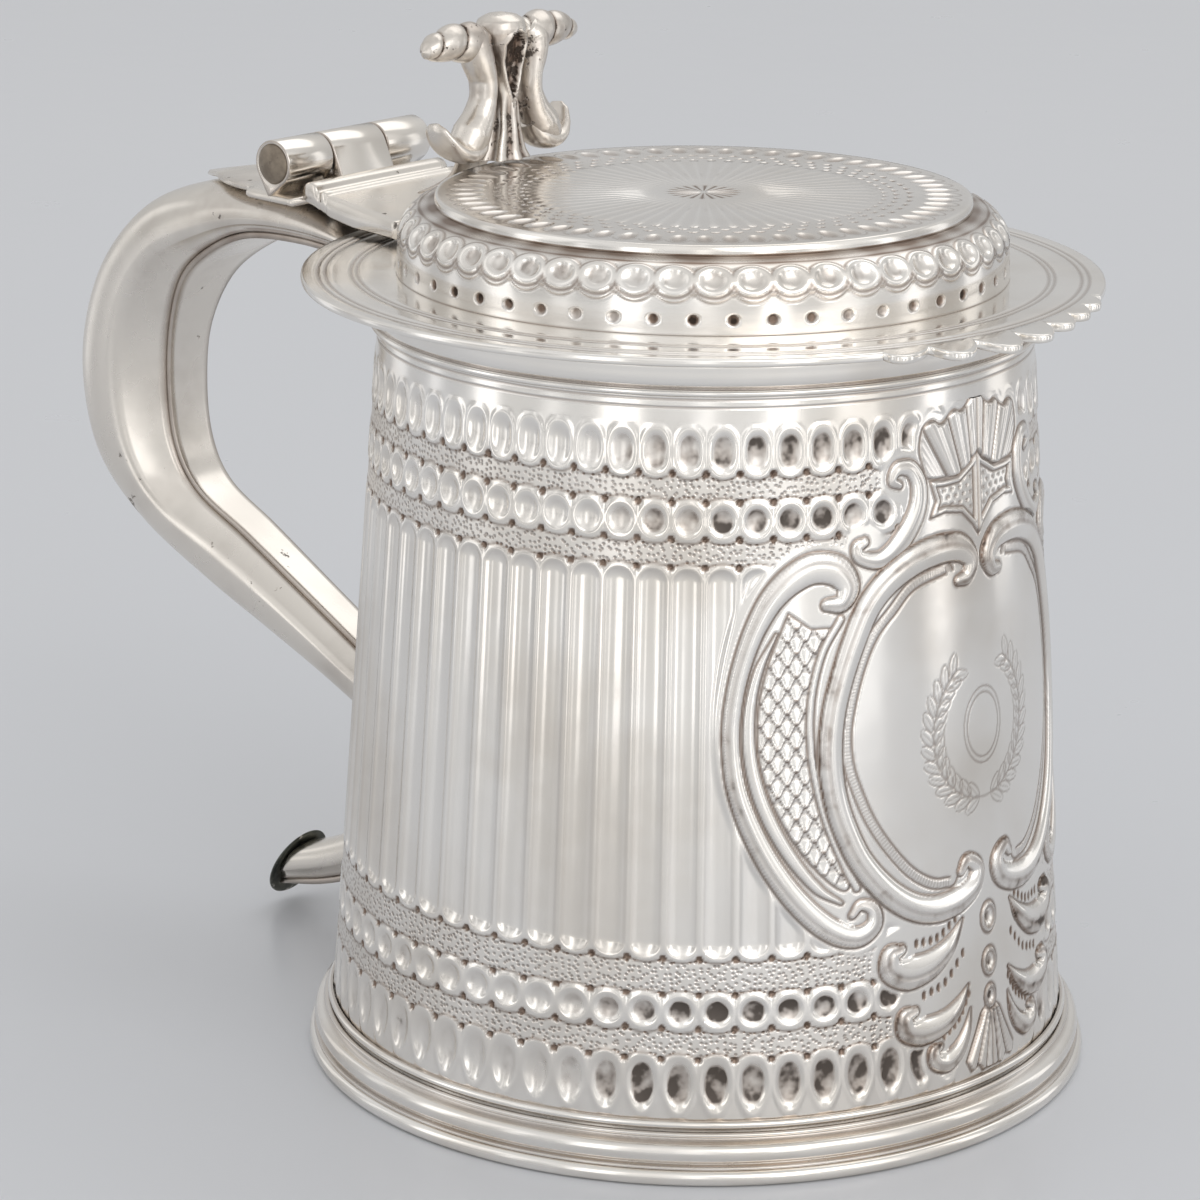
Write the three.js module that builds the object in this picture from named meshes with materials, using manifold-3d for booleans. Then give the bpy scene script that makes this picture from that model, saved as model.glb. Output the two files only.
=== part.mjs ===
// A lidded silver-coloured tankard: tapered drum on a moulded foot, hollow scroll handle,
// three-knuckle hinge, and a flat stepped lid with a serrated front peak and a cast thumbpiece.
// Millimetres, +Z up. The foot stands on z = 0, the handle is on the -X side and the peak on +X.
// Apart from the teeth of the peak, the model is mirror-symmetric about y = 0.

import * as THREE from 'three';
import * as BufferGeometryUtils from 'three/addons/utils/BufferGeometryUtils.js';
import Module from 'manifold-3d';

const wasm = await Module();
wasm.setup();

// ---- driving dimensions ----------------------------------------------------

const AXIS_X = 39.6; // drum axis, so that the whole object is centred over the origin
const GAP = 0.3; // solder gap between pieces that touch
const ROUND = 48; // facets of a full turn on the large rings
const SMALL_ROUND = 24; // facets of a full turn on the hinge

const FOOT_R = 70; // widest radius of the foot
const FOOT_TOP = 10.2; // where the drum leaves the foot
const DRUM_TOP = 138.9; // mouth of the drum
const DRUM_R_LOW = 65.4; // outer radius at the foot
const DRUM_TAPER = 0.0709; // radius lost per mm of height
const WALL = 1.4; // drum wall
const FLOOR_Z = 5.2; // underside of the base disc at its rim

const LIP_LOW = 131.9;
const LIP_HIGH = 137.6;
const LIP_R = 58.9;

const BRIM_TOP = 140.8;
const BRIM_THICK = 1.5;
const BRIM_R = 69.3;
const LID_X = -0.8; // the lid sits a little towards the handle
const BAND_R = 52.9; // lower radius of the lid's raised band
const BAND_TOP = 152.6;
const PLATE_R = 46.3;
const PLATE_TOP = 154.2;
const PLATE_THICK = 0.9;

const HINGE_X = -85.7;
const HINGE_Z = 151.3;
const BARREL_R = 4.3;
const BARREL_HALF = 19;
const MIDDLE_HALF = 7; // half width of the lid's knuckle
const PIN_R = 1.5;
const CAP_RECESS = 1.6; // how deep an end cap sits in the barrel

// ---- materials -------------------------------------------------------------

const silver = (color, roughness) => new THREE.MeshStandardMaterial({ color, roughness, metalness: 1 });
const POLISHED = () => silver(0xd9d6d0, 0.18);
const WORN = () => silver(0xc9c4bb, 0.3);
const CAST = () => silver(0xbfb8ac, 0.36);
const DULL_CAP = () => silver(0x8a7d6c, 0.55);
const DARK_TARNISH = () => silver(0x3d3f39, 0.5);

// ---- shape helpers ---------------------------------------------------------

// Six times the volume that the triangles enclose; it is negative when the faces point inwards.
function signedVolume(geometry) {
  const p = geometry.attributes.position;
  const index = geometry.index;
  const [a, b, c] = [new THREE.Vector3(), new THREE.Vector3(), new THREE.Vector3()];
  let sum = 0;
  for (let i = 0; i < index.count; i += 3) {
    a.fromBufferAttribute(p, index.getX(i));
    b.fromBufferAttribute(p, index.getX(i + 1));
    c.fromBufferAttribute(p, index.getX(i + 2));
    sum += a.dot(b.cross(c));
  }
  return sum;
}

// Merges the shared vertices of a closed geometry and turns its faces outwards.
function closed(source) {
  const bare = source.clone();
  bare.deleteAttribute('normal');
  bare.deleteAttribute('uv');
  const geometry = BufferGeometryUtils.mergeVertices(bare, 1e-4);
  const kept = [];
  const index = geometry.index.array;
  for (let i = 0; i < index.length; i += 3) {
    const [a, b, c] = [index[i], index[i + 1], index[i + 2]];
    if (a !== b && b !== c && c !== a) kept.push(a, b, c);
  }
  geometry.setIndex(kept);
  if (signedVolume(geometry) < 0) geometry.setIndex(kept.reverse());
  return geometry;
}

// A solid of revolution about the drum axis, or about an axis at x = axisX that is parallel to it;
// the profile is a closed loop of [radius, z]. A point at radius 0 is on the axis, and the loop
// then runs along the axis.
function turned(profile, axisX = 0) {
  const points = [...profile, profile[0]].map(([r, z]) => new THREE.Vector2(r, z));
  const geometry = new THREE.LatheGeometry(points, ROUND);
  geometry.rotateX(Math.PI / 2);
  geometry.translate(axisX, 0, 0);
  return closed(geometry);
}

// An outline in the X-Z plane pushed out along Y, from y = from to y = to.
function slab(outline, from, to, holes = []) {
  const shape = new THREE.Shape(outline.map(([x, z]) => new THREE.Vector2(x, z)));
  for (const hole of holes) shape.holes.push(new THREE.Path(hole.map(([x, z]) => new THREE.Vector2(x, z))));
  const geometry = new THREE.ExtrudeGeometry(shape, { depth: to - from, bevelEnabled: false });
  geometry.rotateX(Math.PI / 2);
  geometry.translate(0, to, 0);
  return closed(geometry);
}

// Points of a circle or an arc round [cx, cz], as an outline.
function arc(cx, cz, radius, startDeg, endDeg, steps) {
  return Array.from({ length: steps + 1 }, (_, i) => {
    const a = THREE.MathUtils.degToRad(startDeg + ((endDeg - startDeg) * i) / steps);
    return [cx + radius * Math.cos(a), cz + radius * Math.sin(a)];
  });
}

// A skin over rings of points, each ring having the same number of points, closed by flat ends.
function lofted(rings) {
  const count = rings[0].length;
  const positions = rings.flat(2);
  const index = [];
  for (let r = 0; r + 1 < rings.length; r += 1) {
    for (let j = 0; j < count; j += 1) {
      const next = (j + 1) % count;
      const [a, b] = [r * count + j, r * count + next];
      index.push(a, a + count, b, b, a + count, b + count);
    }
  }
  for (const end of [0, rings.length - 1]) {
    const base = end * count;
    const flat = endOutline(rings[end]);
    const clockwise = THREE.ShapeUtils.area(flat) < 0;
    const reversed = clockwise === (end === 0);
    for (const [a, b, c] of THREE.ShapeUtils.triangulateShape(flat, [])) {
      if (reversed) index.push(base + c, base + b, base + a);
      else index.push(base + a, base + b, base + c);
    }
  }
  const geometry = new THREE.BufferGeometry();
  geometry.setAttribute('position', new THREE.Float32BufferAttribute(positions, 3));
  geometry.setIndex(index);
  return closed(geometry);
}

// A ring of points in space as a flat outline: across is Y, along is its own steepest direction.
function endOutline(ring) {
  const points = ring.map((p) => new THREE.Vector3(...p));
  const centre = points.reduce((sum, p) => sum.add(p), new THREE.Vector3()).divideScalar(points.length);
  const far = points.reduce((best, p) => {
    const reach = Math.hypot(p.x - centre.x, p.z - centre.z);
    return reach > best.reach ? { reach, p } : best;
  }, { reach: 0, p: points[0] });
  const along = new THREE.Vector3(far.p.x - centre.x, 0, far.p.z - centre.z).normalize();
  return points.map((p) => new THREE.Vector2(p.y, p.clone().sub(centre).dot(along)));
}

function manifoldOf(geometry) {
  const vertProperties = new Float32Array(geometry.attributes.position.array);
  const triVerts = new Uint32Array(geometry.index.array);
  return new wasm.Manifold(new wasm.Mesh({ numProp: 3, vertProperties, triVerts }));
}

function geometryOf(manifold) {
  const { vertProperties, triVerts } = manifold.getMesh();
  const geometry = new THREE.BufferGeometry();
  geometry.setAttribute('position', new THREE.BufferAttribute(vertProperties, 3));
  geometry.setIndex(new THREE.BufferAttribute(triVerts, 1));
  return geometry;
}

const cut = (geometry, ...tools) =>
  geometryOf(tools.reduce((rest, tool) => rest.subtract(manifoldOf(tool)), manifoldOf(geometry)));
const joined = (...geometries) =>
  geometryOf(geometries.slice(1).reduce((sum, g) => sum.add(manifoldOf(g)), manifoldOf(geometries[0])));

// ---- drum, floor and foot --------------------------------------------------

const drumRadius = (z) => DRUM_R_LOW - DRUM_TAPER * (z - FOOT_TOP);

function drum() {
  const low = 1.2;
  return turned([
    [drumRadius(low), low],
    [drumRadius(DRUM_TOP), DRUM_TOP],
    [drumRadius(DRUM_TOP) - WALL, DRUM_TOP],
    [drumRadius(low) - WALL, low],
  ]);
}

// The base disc is soldered inside the drum and is domed a little upwards.
function baseDisc() {
  const rim = drumRadius(FLOOR_Z + WALL) - WALL - GAP;
  const dome = 2.2;
  return turned([
    [0, FLOOR_Z + dome],
    [rim * 0.6, FLOOR_Z + dome * 0.65],
    [rim, FLOOR_Z],
    [rim, FLOOR_Z + WALL],
    [rim * 0.6, FLOOR_Z + dome * 0.65 + WALL],
    [0, FLOOR_Z + dome + WALL],
  ]);
}

// The rounded wire at the very bottom; its underside is the flat ring that the tankard stands on.
const footRimWire = () =>
  turned([
    [drumRadius(0) + GAP, 0],
    [FOOT_R - 0.8, 0],
    [FOOT_R - 0.2, 0.5],
    [FOOT_R, 1.3],
    [FOOT_R - 0.2, 2.1],
    [FOOT_R - 0.8, 2.7],
    [drumRadius(2.7) + GAP, 2.7],
  ]);
const footMoulding = () =>
  turned([
    [drumRadius(3) + GAP, 3],
    [FOOT_R - 1.2, 3],
    [FOOT_R - 1.0, 3.4],
    [FOOT_R - 1.6, 3.8],
    [FOOT_R - 1.1, 4.8],
    [FOOT_R - 1.3, 6.0],
    [FOOT_R - 2.2, 7.1],
    [FOOT_R - 3.6, 7.4],
    [FOOT_R - 3.4, 7.9],
    [FOOT_R - 2.7, 8.2],
    [FOOT_R - 3.3, 8.6],
    [drumRadius(8.6) + GAP, 8.6],
  ]);
const footAstragalWire = () =>
  turned([
    [drumRadius(8.9) + GAP, 8.9],
    [FOOT_R - 3.9, 8.9],
    [FOOT_R - 3.4, 9.3],
    [FOOT_R - 3.4, 9.8],
    [FOOT_R - 3.9, 10.3],
    [drumRadius(10.3) + GAP, 10.3],
  ]);

const lipMoulding = () =>
  turned([
    [drumRadius(LIP_LOW) + GAP, LIP_LOW],
    [LIP_R - 0.9, LIP_LOW],
    [LIP_R - 0.2, LIP_LOW + 0.7],
    [LIP_R - 0.1, LIP_LOW + 1.9],
    [LIP_R - 0.9, LIP_LOW + 2.7],
    [LIP_R - 0.1, LIP_LOW + 3.5],
    [LIP_R, LIP_LOW + 4.7],
    [LIP_R - 0.7, LIP_HIGH],
    [drumRadius(LIP_HIGH) + GAP, LIP_HIGH],
  ]);

// The space that the drum with its lip and foot takes, with a solder gap all round.
function drumClearance() {
  return turned([
    [0, -5],
    [FOOT_R + GAP, -5],
    [FOOT_R + GAP, 4],
    [drumRadius(12) + GAP, 12],
    [drumRadius(LIP_LOW - 2) + GAP, LIP_LOW - 2],
    [LIP_R + GAP, LIP_LOW - 0.6],
    [LIP_R + GAP, DRUM_TOP + 0.1],
    [0, DRUM_TOP + 0.1],
  ]);
}

// ---- handle ----------------------------------------------------------------

// Stations down the handle. strap is a point on the inner face and back one on the outer face;
// the half widths are those of the strap and of the shell, and ridge is how far behind the strap
// the shell is widest. The last stations are the tail, which turns away from the drum.
const HANDLE = [
  { strap: [-56.5, 132.8], back: [-56.5, 136.8], strapHalf: 12.3, shellHalf: 13, ridge: 1.2 },
  { strap: [-72, 134.3], back: [-71.5, 138.7], strapHalf: 12.3, shellHalf: 13, ridge: 1.2 },
  { strap: [-86, 135.5], back: [-86, 143.2], strapHalf: 12.3, shellHalf: 13, ridge: 1.4 },
  { strap: [-100, 134.5], back: [-103, 143.9], strapHalf: 11.8, shellHalf: 13, ridge: 1.8 },
  { strap: [-112, 129.7], back: [-118.5, 142], strapHalf: 9.8, shellHalf: 12.8, ridge: 3 },
  { strap: [-121.5, 122.6], back: [-133.5, 136], strapHalf: 7.4, shellHalf: 12.2, ridge: 5.5 },
  { strap: [-126.6, 112], back: [-146.5, 122.5], strapHalf: 5.6, shellHalf: 11.3, ridge: 8 },
  { strap: [-127.8, 100], back: [-153, 104], strapHalf: 5.1, shellHalf: 10.5, ridge: 9 },
  { strap: [-126.2, 89], back: [-149.5, 85.5], strapHalf: 4.9, shellHalf: 10, ridge: 8 },
  { strap: [-120.8, 81.3], back: [-137, 72.8], strapHalf: 4.6, shellHalf: 9.4, ridge: 6 },
  { strap: [-109, 74.9], back: [-119, 62.8], strapHalf: 4.3, shellHalf: 8.6, ridge: 4 },
  { strap: [-95, 66.9], back: [-102.5, 55.6], strapHalf: 4, shellHalf: 8, ridge: 3 },
  { strap: [-80, 58.2], back: [-87, 48.8], strapHalf: 3.8, shellHalf: 7.4, ridge: 2.8 },
  { strap: [-67.5, 50.6], back: [-75.5, 42.4], strapHalf: 3.6, shellHalf: 6.9, ridge: 2.6 },
  { strap: [-61.2, 42], back: [-70.6, 36.4], strapHalf: 3.6, shellHalf: 6.6, ridge: 2.6 },
  { strap: [-61.4, 31], back: [-71, 30.4], strapHalf: 3.6, shellHalf: 6.3, ridge: 2.6 },
  { strap: [-68.6, 20], back: [-75.8, 24.6], strapHalf: 3.6, shellHalf: 6, ridge: 2.5 },
  { strap: [-79, 11.8], back: [-83.4, 19.4], strapHalf: 3.6, shellHalf: 5.8, ridge: 2.5 },
  { strap: [-89.5, 7.4], back: [-91.4, 15.6], strapHalf: 3.8, shellHalf: 5.6, ridge: 2.5 },
  { strap: [-97, 5.4], back: [-97.6, 13.6], strapHalf: 4, shellHalf: 5.6, ridge: 2.5 },
];
const HANDLE_WALL = 1.2;
const STRAP_THICK = 1.2;
const HANDLE_STEPS = 34;
const BACK_STEPS = 5; // facets of the rounded back, from one ridge to the other

// A smooth run through one column of the station list.
function along(read) {
  const curve = new THREE.CatmullRomCurve3(HANDLE.map((s) => new THREE.Vector3(...read(s))));
  return (t) => curve.getPoint(t);
}
const strapAt = along((s) => [s.strap[0], 0, s.strap[1]]);
const backAt = along((s) => [s.back[0], 0, s.back[1]]);
const widthsAt = along((s) => [s.strapHalf, s.shellHalf, s.ridge]);

// Half of the section's outline as [across, depth] from the strap's edge round to the middle of
// the back: a straight flank to the ridge, then a quarter of a superellipse.
function halfSection(depth, widths, inset) {
  const { x: strapHalf, y: shellHalf, z: ridge } = widths;
  const start = STRAP_THICK + GAP;
  const points = [[strapHalf - inset, start]];
  const side = shellHalf - inset;
  const rear = depth - inset;
  for (let i = 0; i <= BACK_STEPS; i += 1) {
    const a = (Math.PI / 2) * (i / BACK_STEPS);
    const across = side * Math.cos(a) ** 0.8;
    const deep = ridge + start + (rear - ridge - start) * Math.sin(a) ** 0.8;
    points.push([across, deep]);
  }
  return points;
}

// Carries a section [across, depth] from the strap towards the back at station t.
function placed(section, t) {
  const foot = strapAt(t);
  const depthAxis = backAt(t).sub(foot).normalize();
  return section.map(([across, depth]) => {
    const p = foot.clone().addScaledVector(depthAxis, depth);
    return [p.x, across, p.z];
  });
}

function handleRings(sectionOf, from = 0, to = 1) {
  return Array.from({ length: HANDLE_STEPS + 1 }, (_, i) => {
    const t = from + ((to - from) * i) / HANDLE_STEPS;
    const depth = backAt(t).distanceTo(strapAt(t));
    return placed(sectionOf(depth, widthsAt(t)), t);
  });
}

// The shell is a U in section: its open side is closed by the strap.
function handleShell() {
  const mirrored = (half) => [...half.slice(0, -1).map(([a, d]) => [-a, d]), ...[...half].reverse()];
  const rings = handleRings((depth, widths) => {
    const outside = mirrored(halfSection(depth, widths, 0));
    const inside = mirrored(halfSection(depth, widths, HANDLE_WALL));
    return [...outside, ...inside.reverse()];
  });
  return cut(lofted(rings), drumClearance());
}

const strapRings = (from, to) =>
  handleRings((_, widths) => [
    [-widths.x, 0],
    [widths.x, 0],
    [widths.x, STRAP_THICK],
    [-widths.x, STRAP_THICK],
  ], from, to);

// The strap closes the shell from the lip of the drum down to the lower joint.
// It has a small vent near its lower end, because the handle is hollow.
function handleStrap() {
  const ventAt = strapAt(0.64);
  const vent = new THREE.CylinderGeometry(0.9, 0.9, 14, 12);
  vent.rotateX(Math.PI / 2);
  vent.translate(ventAt.x, 0, ventAt.z);
  return cut(lofted(strapRings(0, 0.735)), drumClearance(), closed(vent));
}

const handleTailStrap = () => cut(lofted(strapRings(0.81, 1)), drumClearance());

// The shield-shaped plate that closes the tail: an oval dome across the end of the tail.
const TERMINAL = { x: -99.6, z: 8.9, halfHigh: 7.4, halfWide: 7, thick: 3, tiltDeg: 24 };

function handleTerminal() {
  const { x, z, halfHigh, halfWide, thick, tiltDeg } = TERMINAL;
  const dome = [
    [0, 0],
    [0.92, 0],
    [1, 0.25],
    [0.86, 0.66],
    [0.5, 0.93],
    [0, 1],
  ].map(([r, h]) => new THREE.Vector2(r, h));
  const geometry = new THREE.LatheGeometry(dome, SMALL_ROUND);
  geometry.scale(halfHigh, thick, halfWide);
  geometry.rotateZ(THREE.MathUtils.degToRad(90));
  geometry.rotateX(Math.PI / 2);
  geometry.rotateY(THREE.MathUtils.degToRad(-tiltDeg));
  geometry.translate(x, 0, z);
  return closed(geometry);
}

// ---- hinge -----------------------------------------------------------------

const barrelOutline = (radius) => arc(HINGE_X, HINGE_Z, radius, 0, 360, SMALL_ROUND).slice(0, -1);

// The stepped, pointed plate on top of the handle that carries the two outer knuckles.
// Its plan tapers to a point; its underside follows the back of the handle.
function handleHingePlate() {
  const top = [[-80.9, 145.6], [-93, 145.9], [-104, 145.7], [-113, 144.9], [-121, 143.3]];
  const bottom = top.map(([x, z], i) => [x, z - (i < 2 ? 1.5 : 1.1)]).reverse();
  const tall = slab([...top, ...bottom], -BARREL_HALF, BARREL_HALF);
  const half = [[-80, 19], [-92, 19], [-95, 15.5], [-104, 13], [-112, 7], [-121.5, 0.8]];
  const plan = [...half, ...half.map(([x, y]) => [x, -y]).reverse()];
  const shape = new THREE.Shape(plan.map(([x, y]) => new THREE.Vector2(x, y)));
  const prism = new THREE.ExtrudeGeometry(shape, { depth: 30, bevelEnabled: false });
  prism.translate(0, 0, 130);
  return geometryOf(manifoldOf(tall).intersect(manifoldOf(closed(prism))));
}

// A knuckle is a tube with a web; web is the outline of the web in X-Z.
function knuckle(from, to, web, capRecess) {
  const bore = barrelOutline(PIN_R + GAP);
  const body = joined(slab(barrelOutline(BARREL_R), from, to), slab(web, from, to));
  const recess = capRecess.map(([a, b]) => slab(barrelOutline(BARREL_R - 0.8), a, b));
  return cut(body, slab(bore, from - 1, to + 1), ...recess);
}

const HANDLE_WEB = [
  [HINGE_X - 3.8, HINGE_Z - 2],
  [HINGE_X - 2.6, 146.2],
  [HINGE_X + 2.2, 146.2],
  [HINGE_X + 3.8, HINGE_Z - 2],
  [HINGE_X, HINGE_Z],
];
const LID_WEB = [
  [HINGE_X + 1.5, HINGE_Z - 3.9],
  [HINGE_X + 4.4, HINGE_Z - 5.2],
  [-79.9, HINGE_Z - 4.6],
  [-79.9, HINGE_Z - 2.8],
  [HINGE_X + 3.8, HINGE_Z - 1.2],
  [HINGE_X, HINGE_Z],
];

const INNER_END = MIDDLE_HALF + GAP;
const nearKnuckle = () =>
  knuckle(-BARREL_HALF, -INNER_END, HANDLE_WEB, [[-BARREL_HALF - 1, -BARREL_HALF + CAP_RECESS]]);
const farKnuckle = () =>
  knuckle(INNER_END, BARREL_HALF, HANDLE_WEB, [[BARREL_HALF - CAP_RECESS, BARREL_HALF + 1]]);
const lidKnuckle = () => knuckle(-MIDDLE_HALF, MIDDLE_HALF, LID_WEB, []);

const hingePin = () => {
  const half = BARREL_HALF - CAP_RECESS - GAP;
  return slab(barrelOutline(PIN_R), -half, half);
};

// A low domed button that hides the end of the pin.
function endCap(side) {
  const radius = BARREL_R - 0.8 - GAP;
  const inner = BARREL_HALF - CAP_RECESS + GAP;
  const profile = [
    [0, inner],
    [radius, inner],
    [radius, BARREL_HALF - 0.3],
    [radius * 0.8, BARREL_HALF + 0.4],
    [radius * 0.4, BARREL_HALF + 0.75],
    [0, BARREL_HALF + 0.85],
  ].map(([r, y]) => new THREE.Vector2(r, y * side));
  const geometry = new THREE.LatheGeometry(profile, SMALL_ROUND);
  geometry.translate(HINGE_X, 0, HINGE_Z);
  return closed(geometry);
}

// ---- lid -------------------------------------------------------------------

// The brim's outline: a circle whose front swells into a row of teeth. A tooth rises steeply from
// its notch to its tip and falls slowly towards the next notch.
const PEAK_TEETH = [
  { startDeg: -26.7, tip: 72.6 },
  { startDeg: -19.3, tip: 75 },
  { startDeg: -11.6, tip: 75.7 },
  { startDeg: -4, tip: 74 },
  { startDeg: 4, tip: 72.2 },
  { startDeg: 11, tip: 71.2 },
  { startDeg: 17.6, tip: 70.6 },
];
const PEAK_END_DEG = 24;
const NOTCH_R = 67.8;
const TOOTH_SHARES = [0, 0.04, 0.12, 0.25, 0.5, 0.75, 0.94];

const toothRadius = (tip, share) => NOTCH_R + (tip - NOTCH_R) * Math.sin(Math.PI * share ** 0.5) ** 0.7;

function brimOutline() {
  const teeth = PEAK_TEETH.flatMap(({ startDeg, tip }, i) => {
    const endDeg = i + 1 < PEAK_TEETH.length ? PEAK_TEETH[i + 1].startDeg : PEAK_END_DEG;
    return TOOTH_SHARES.map((share) => [startDeg + (endDeg - startDeg) * share, toothRadius(tip, share)]);
  });
  const circleDeg = 360 + PEAK_TEETH[0].startDeg - PEAK_END_DEG;
  const circle = Array.from({ length: ROUND }, (_, i) => [
    PEAK_END_DEG + (circleDeg * (i + 0.1)) / (ROUND - 0.8),
    BRIM_R,
  ]);
  return [...teeth, ...circle];
}

function lidBrim() {
  const outline = brimOutline().map(([deg, radius]) => {
    const a = THREE.MathUtils.degToRad(deg);
    return new THREE.Vector2(Math.cos(a), Math.sin(a)).multiplyScalar(radius);
  });
  const shape = new THREE.Shape(outline);
  const holeR = BAND_R - WALL;
  const hole = Array.from({ length: ROUND }, (_, i) => {
    const a = (-2 * Math.PI * i) / ROUND;
    return new THREE.Vector2(holeR * Math.cos(a), holeR * Math.sin(a));
  });
  shape.holes.push(new THREE.Path(hole));
  const geometry = new THREE.ExtrudeGeometry(shape, { depth: BRIM_THICK, bevelEnabled: false });
  geometry.translate(LID_X, 0, BRIM_TOP - BRIM_THICK);
  return closed(geometry);
}

// The raised band: a short wall that curves in over a shoulder to the flat ledge under the plate.
function lidBand() {
  const low = BRIM_TOP + GAP;
  const outside = [
    [BAND_R, low],
    [BAND_R - 0.2, low + 4.5],
    [BAND_R - 0.6, low + 7],
    [BAND_R - 1.8, low + 9.2],
    [BAND_R - 3.8, low + 10.9],
    [BAND_R - 7, BAND_TOP],
  ];
  const inside = outside.map(([r, z], i) => [r - WALL * (i < 3 ? 1 : 0.75), i < 3 ? z : z - WALL * 0.8]);
  const ledge = 10;
  return turned([
    ...outside,
    [PLATE_R - ledge, BAND_TOP],
    [PLATE_R - ledge, BAND_TOP - WALL],
    ...inside.reverse().map(([r, z], i) => [r, i === 5 ? low : z]),
  ], LID_X);
}

function lidTopPlate() {
  const low = PLATE_TOP - PLATE_THICK;
  const domeRise = 0.15;
  return turned([
    [0, low],
    [PLATE_R - 0.4, low],
    [PLATE_R, low + 0.3],
    [PLATE_R, PLATE_TOP - 0.2],
    [PLATE_R - 0.6, PLATE_TOP],
    [0, PLATE_TOP + domeRise],
  ], LID_X);
}

// The ring under the lid that drops into the mouth of the drum.
function lidBezel() {
  const outer = drumRadius(DRUM_TOP) - WALL - 1.2;
  const low = DRUM_TOP - 3.4;
  const high = BRIM_TOP - BRIM_THICK - GAP;
  return turned([
    [outer - 0.4, low],
    [outer, low + 1],
    [outer, high],
    [outer - 1.5, high],
    [outer - 1.5, low],
  ]);
}

// The plate from the hinge to the lid's band, with a raised moulding across it near the barrel.
function lidHingePlate() {
  const side = [
    [-79.6, 145.3],
    [-79.6, 147.9],
    [-78.6, 148.7],
    [-76.6, 148.4],
    [-75.6, 147.2],
    [-74.4, 147.4],
    [-73.2, 146.6],
    [-66, 145.6],
    [-50, 144.6],
    [-50, 141.6],
    [-66, 141.6],
    [-72.5, 143],
  ];
  const half = [[-80, 17.5], [-70, 17.8], [-60, 19.4], [-49, 22.4]];
  const plan = [...half, ...half.map(([x, y]) => [x, -y]).reverse()];
  const shape = new THREE.Shape(plan.map(([x, y]) => new THREE.Vector2(x, y)));
  const prism = new THREE.ExtrudeGeometry(shape, { depth: 30, bevelEnabled: false });
  prism.translate(0, 0, 130);
  const bandSpace = turned([[0, 139], [BAND_R + GAP, 139], [BAND_R + GAP, 156], [0, 156]], LID_X);
  const blank = manifoldOf(slab(side, -25, 25)).intersect(manifoldOf(closed(prism)));
  return geometryOf(blank.subtract(manifoldOf(bandSpace)));
}

// ---- thumbpiece ------------------------------------------------------------

const THUMB_X = -47.5;
const THUMB_DEPTH = 8;
const THUMB_BASE = PLATE_TOP + 0.15 + GAP;

// An outline in the Y-Z plane pushed out along X about the thumbpiece's middle plane.
function frontSlab(outline, depth) {
  const shape = new THREE.Shape(outline.map(([y, z]) => new THREE.Vector2(y, z)));
  const geometry = new THREE.ExtrudeGeometry(shape, { depth, bevelEnabled: false });
  geometry.rotateX(Math.PI / 2);
  geometry.rotateZ(Math.PI / 2);
  geometry.translate(THUMB_X - depth / 2, 0, 0);
  return closed(geometry);
}

// One limb seen from the front: an up-curled fluke at the foot, a narrow waist and a flared head.
const LIMB = [
  [1.2, 158],
  [7.5, 156],
  [12, 154.9],
  [15.6, 156.4],
  [17.6, 160.8],
  [15.4, 160.2],
  [13, 158.2],
  [9.6, 158.8],
  [6.4, 163],
  [5.2, 168],
  [6.6, 172],
  [9.4, 174.8],
  [8.2, 178.8],
  [3.4, 179.6],
  [1.2, 172],
];

// A volute: a stubby horn lying along Y, in swelling turns that lessen towards its tip.
function volute(side) {
  const profile = [
    [0, 4],
    [3, 4],
    [3.9, 8],
    [3.3, 11.2],
    [2.9, 12],
    [3.2, 14],
    [2.4, 16.8],
    [2.1, 17.4],
    [1.9, 19],
    [0, 20.6],
  ].map(([r, y]) => new THREE.Vector2(r, y * side));
  const geometry = new THREE.LatheGeometry(profile, 14);
  geometry.translate(THUMB_X, 0, 176.2);
  return closed(geometry);
}

function thumbpiece() {
  const mirror = (outline) => outline.map(([y, z]) => [-y, z]).reverse();
  const pillar = [
    [4.4, THUMB_BASE],
    [2.6, 159],
    [2.2, 168],
    [3.6, 176],
    [3.4, 179.6],
    [1.6, 181],
  ];
  return joined(
    frontSlab([...pillar, ...mirror(pillar)], THUMB_DEPTH * 0.8),
    frontSlab(LIMB, THUMB_DEPTH),
    frontSlab(mirror(LIMB), THUMB_DEPTH),
    volute(1),
    volute(-1),
  );
}

// The curved tongue from the thumbpiece's foot down to the hinge plate, clear of the band.
function thumbpieceTongue() {
  const back = THUMB_X - THUMB_DEPTH / 2 - GAP;
  const upper = [[back, 158.4], [back, 154.6], [-55, 151.2], [-58.6, 148.4], [-63.2, 146.7]];
  const thickness = [0.9, 1.3, 1.8, 1.9, 0.8];
  const lower = [[-0.9, 0], [-1.3, -0.4], [-1.5, 1], [-0.8, 1.8], [-0.2, 0.9]];
  const outer = upper.map(([x, z], i) => [x + lower[i][0] * thickness[i], z + lower[i][1]]);
  return slab([...upper, ...outer.reverse()], -5.5, 5.5);
}

// ---- assembly --------------------------------------------------------------

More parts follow.
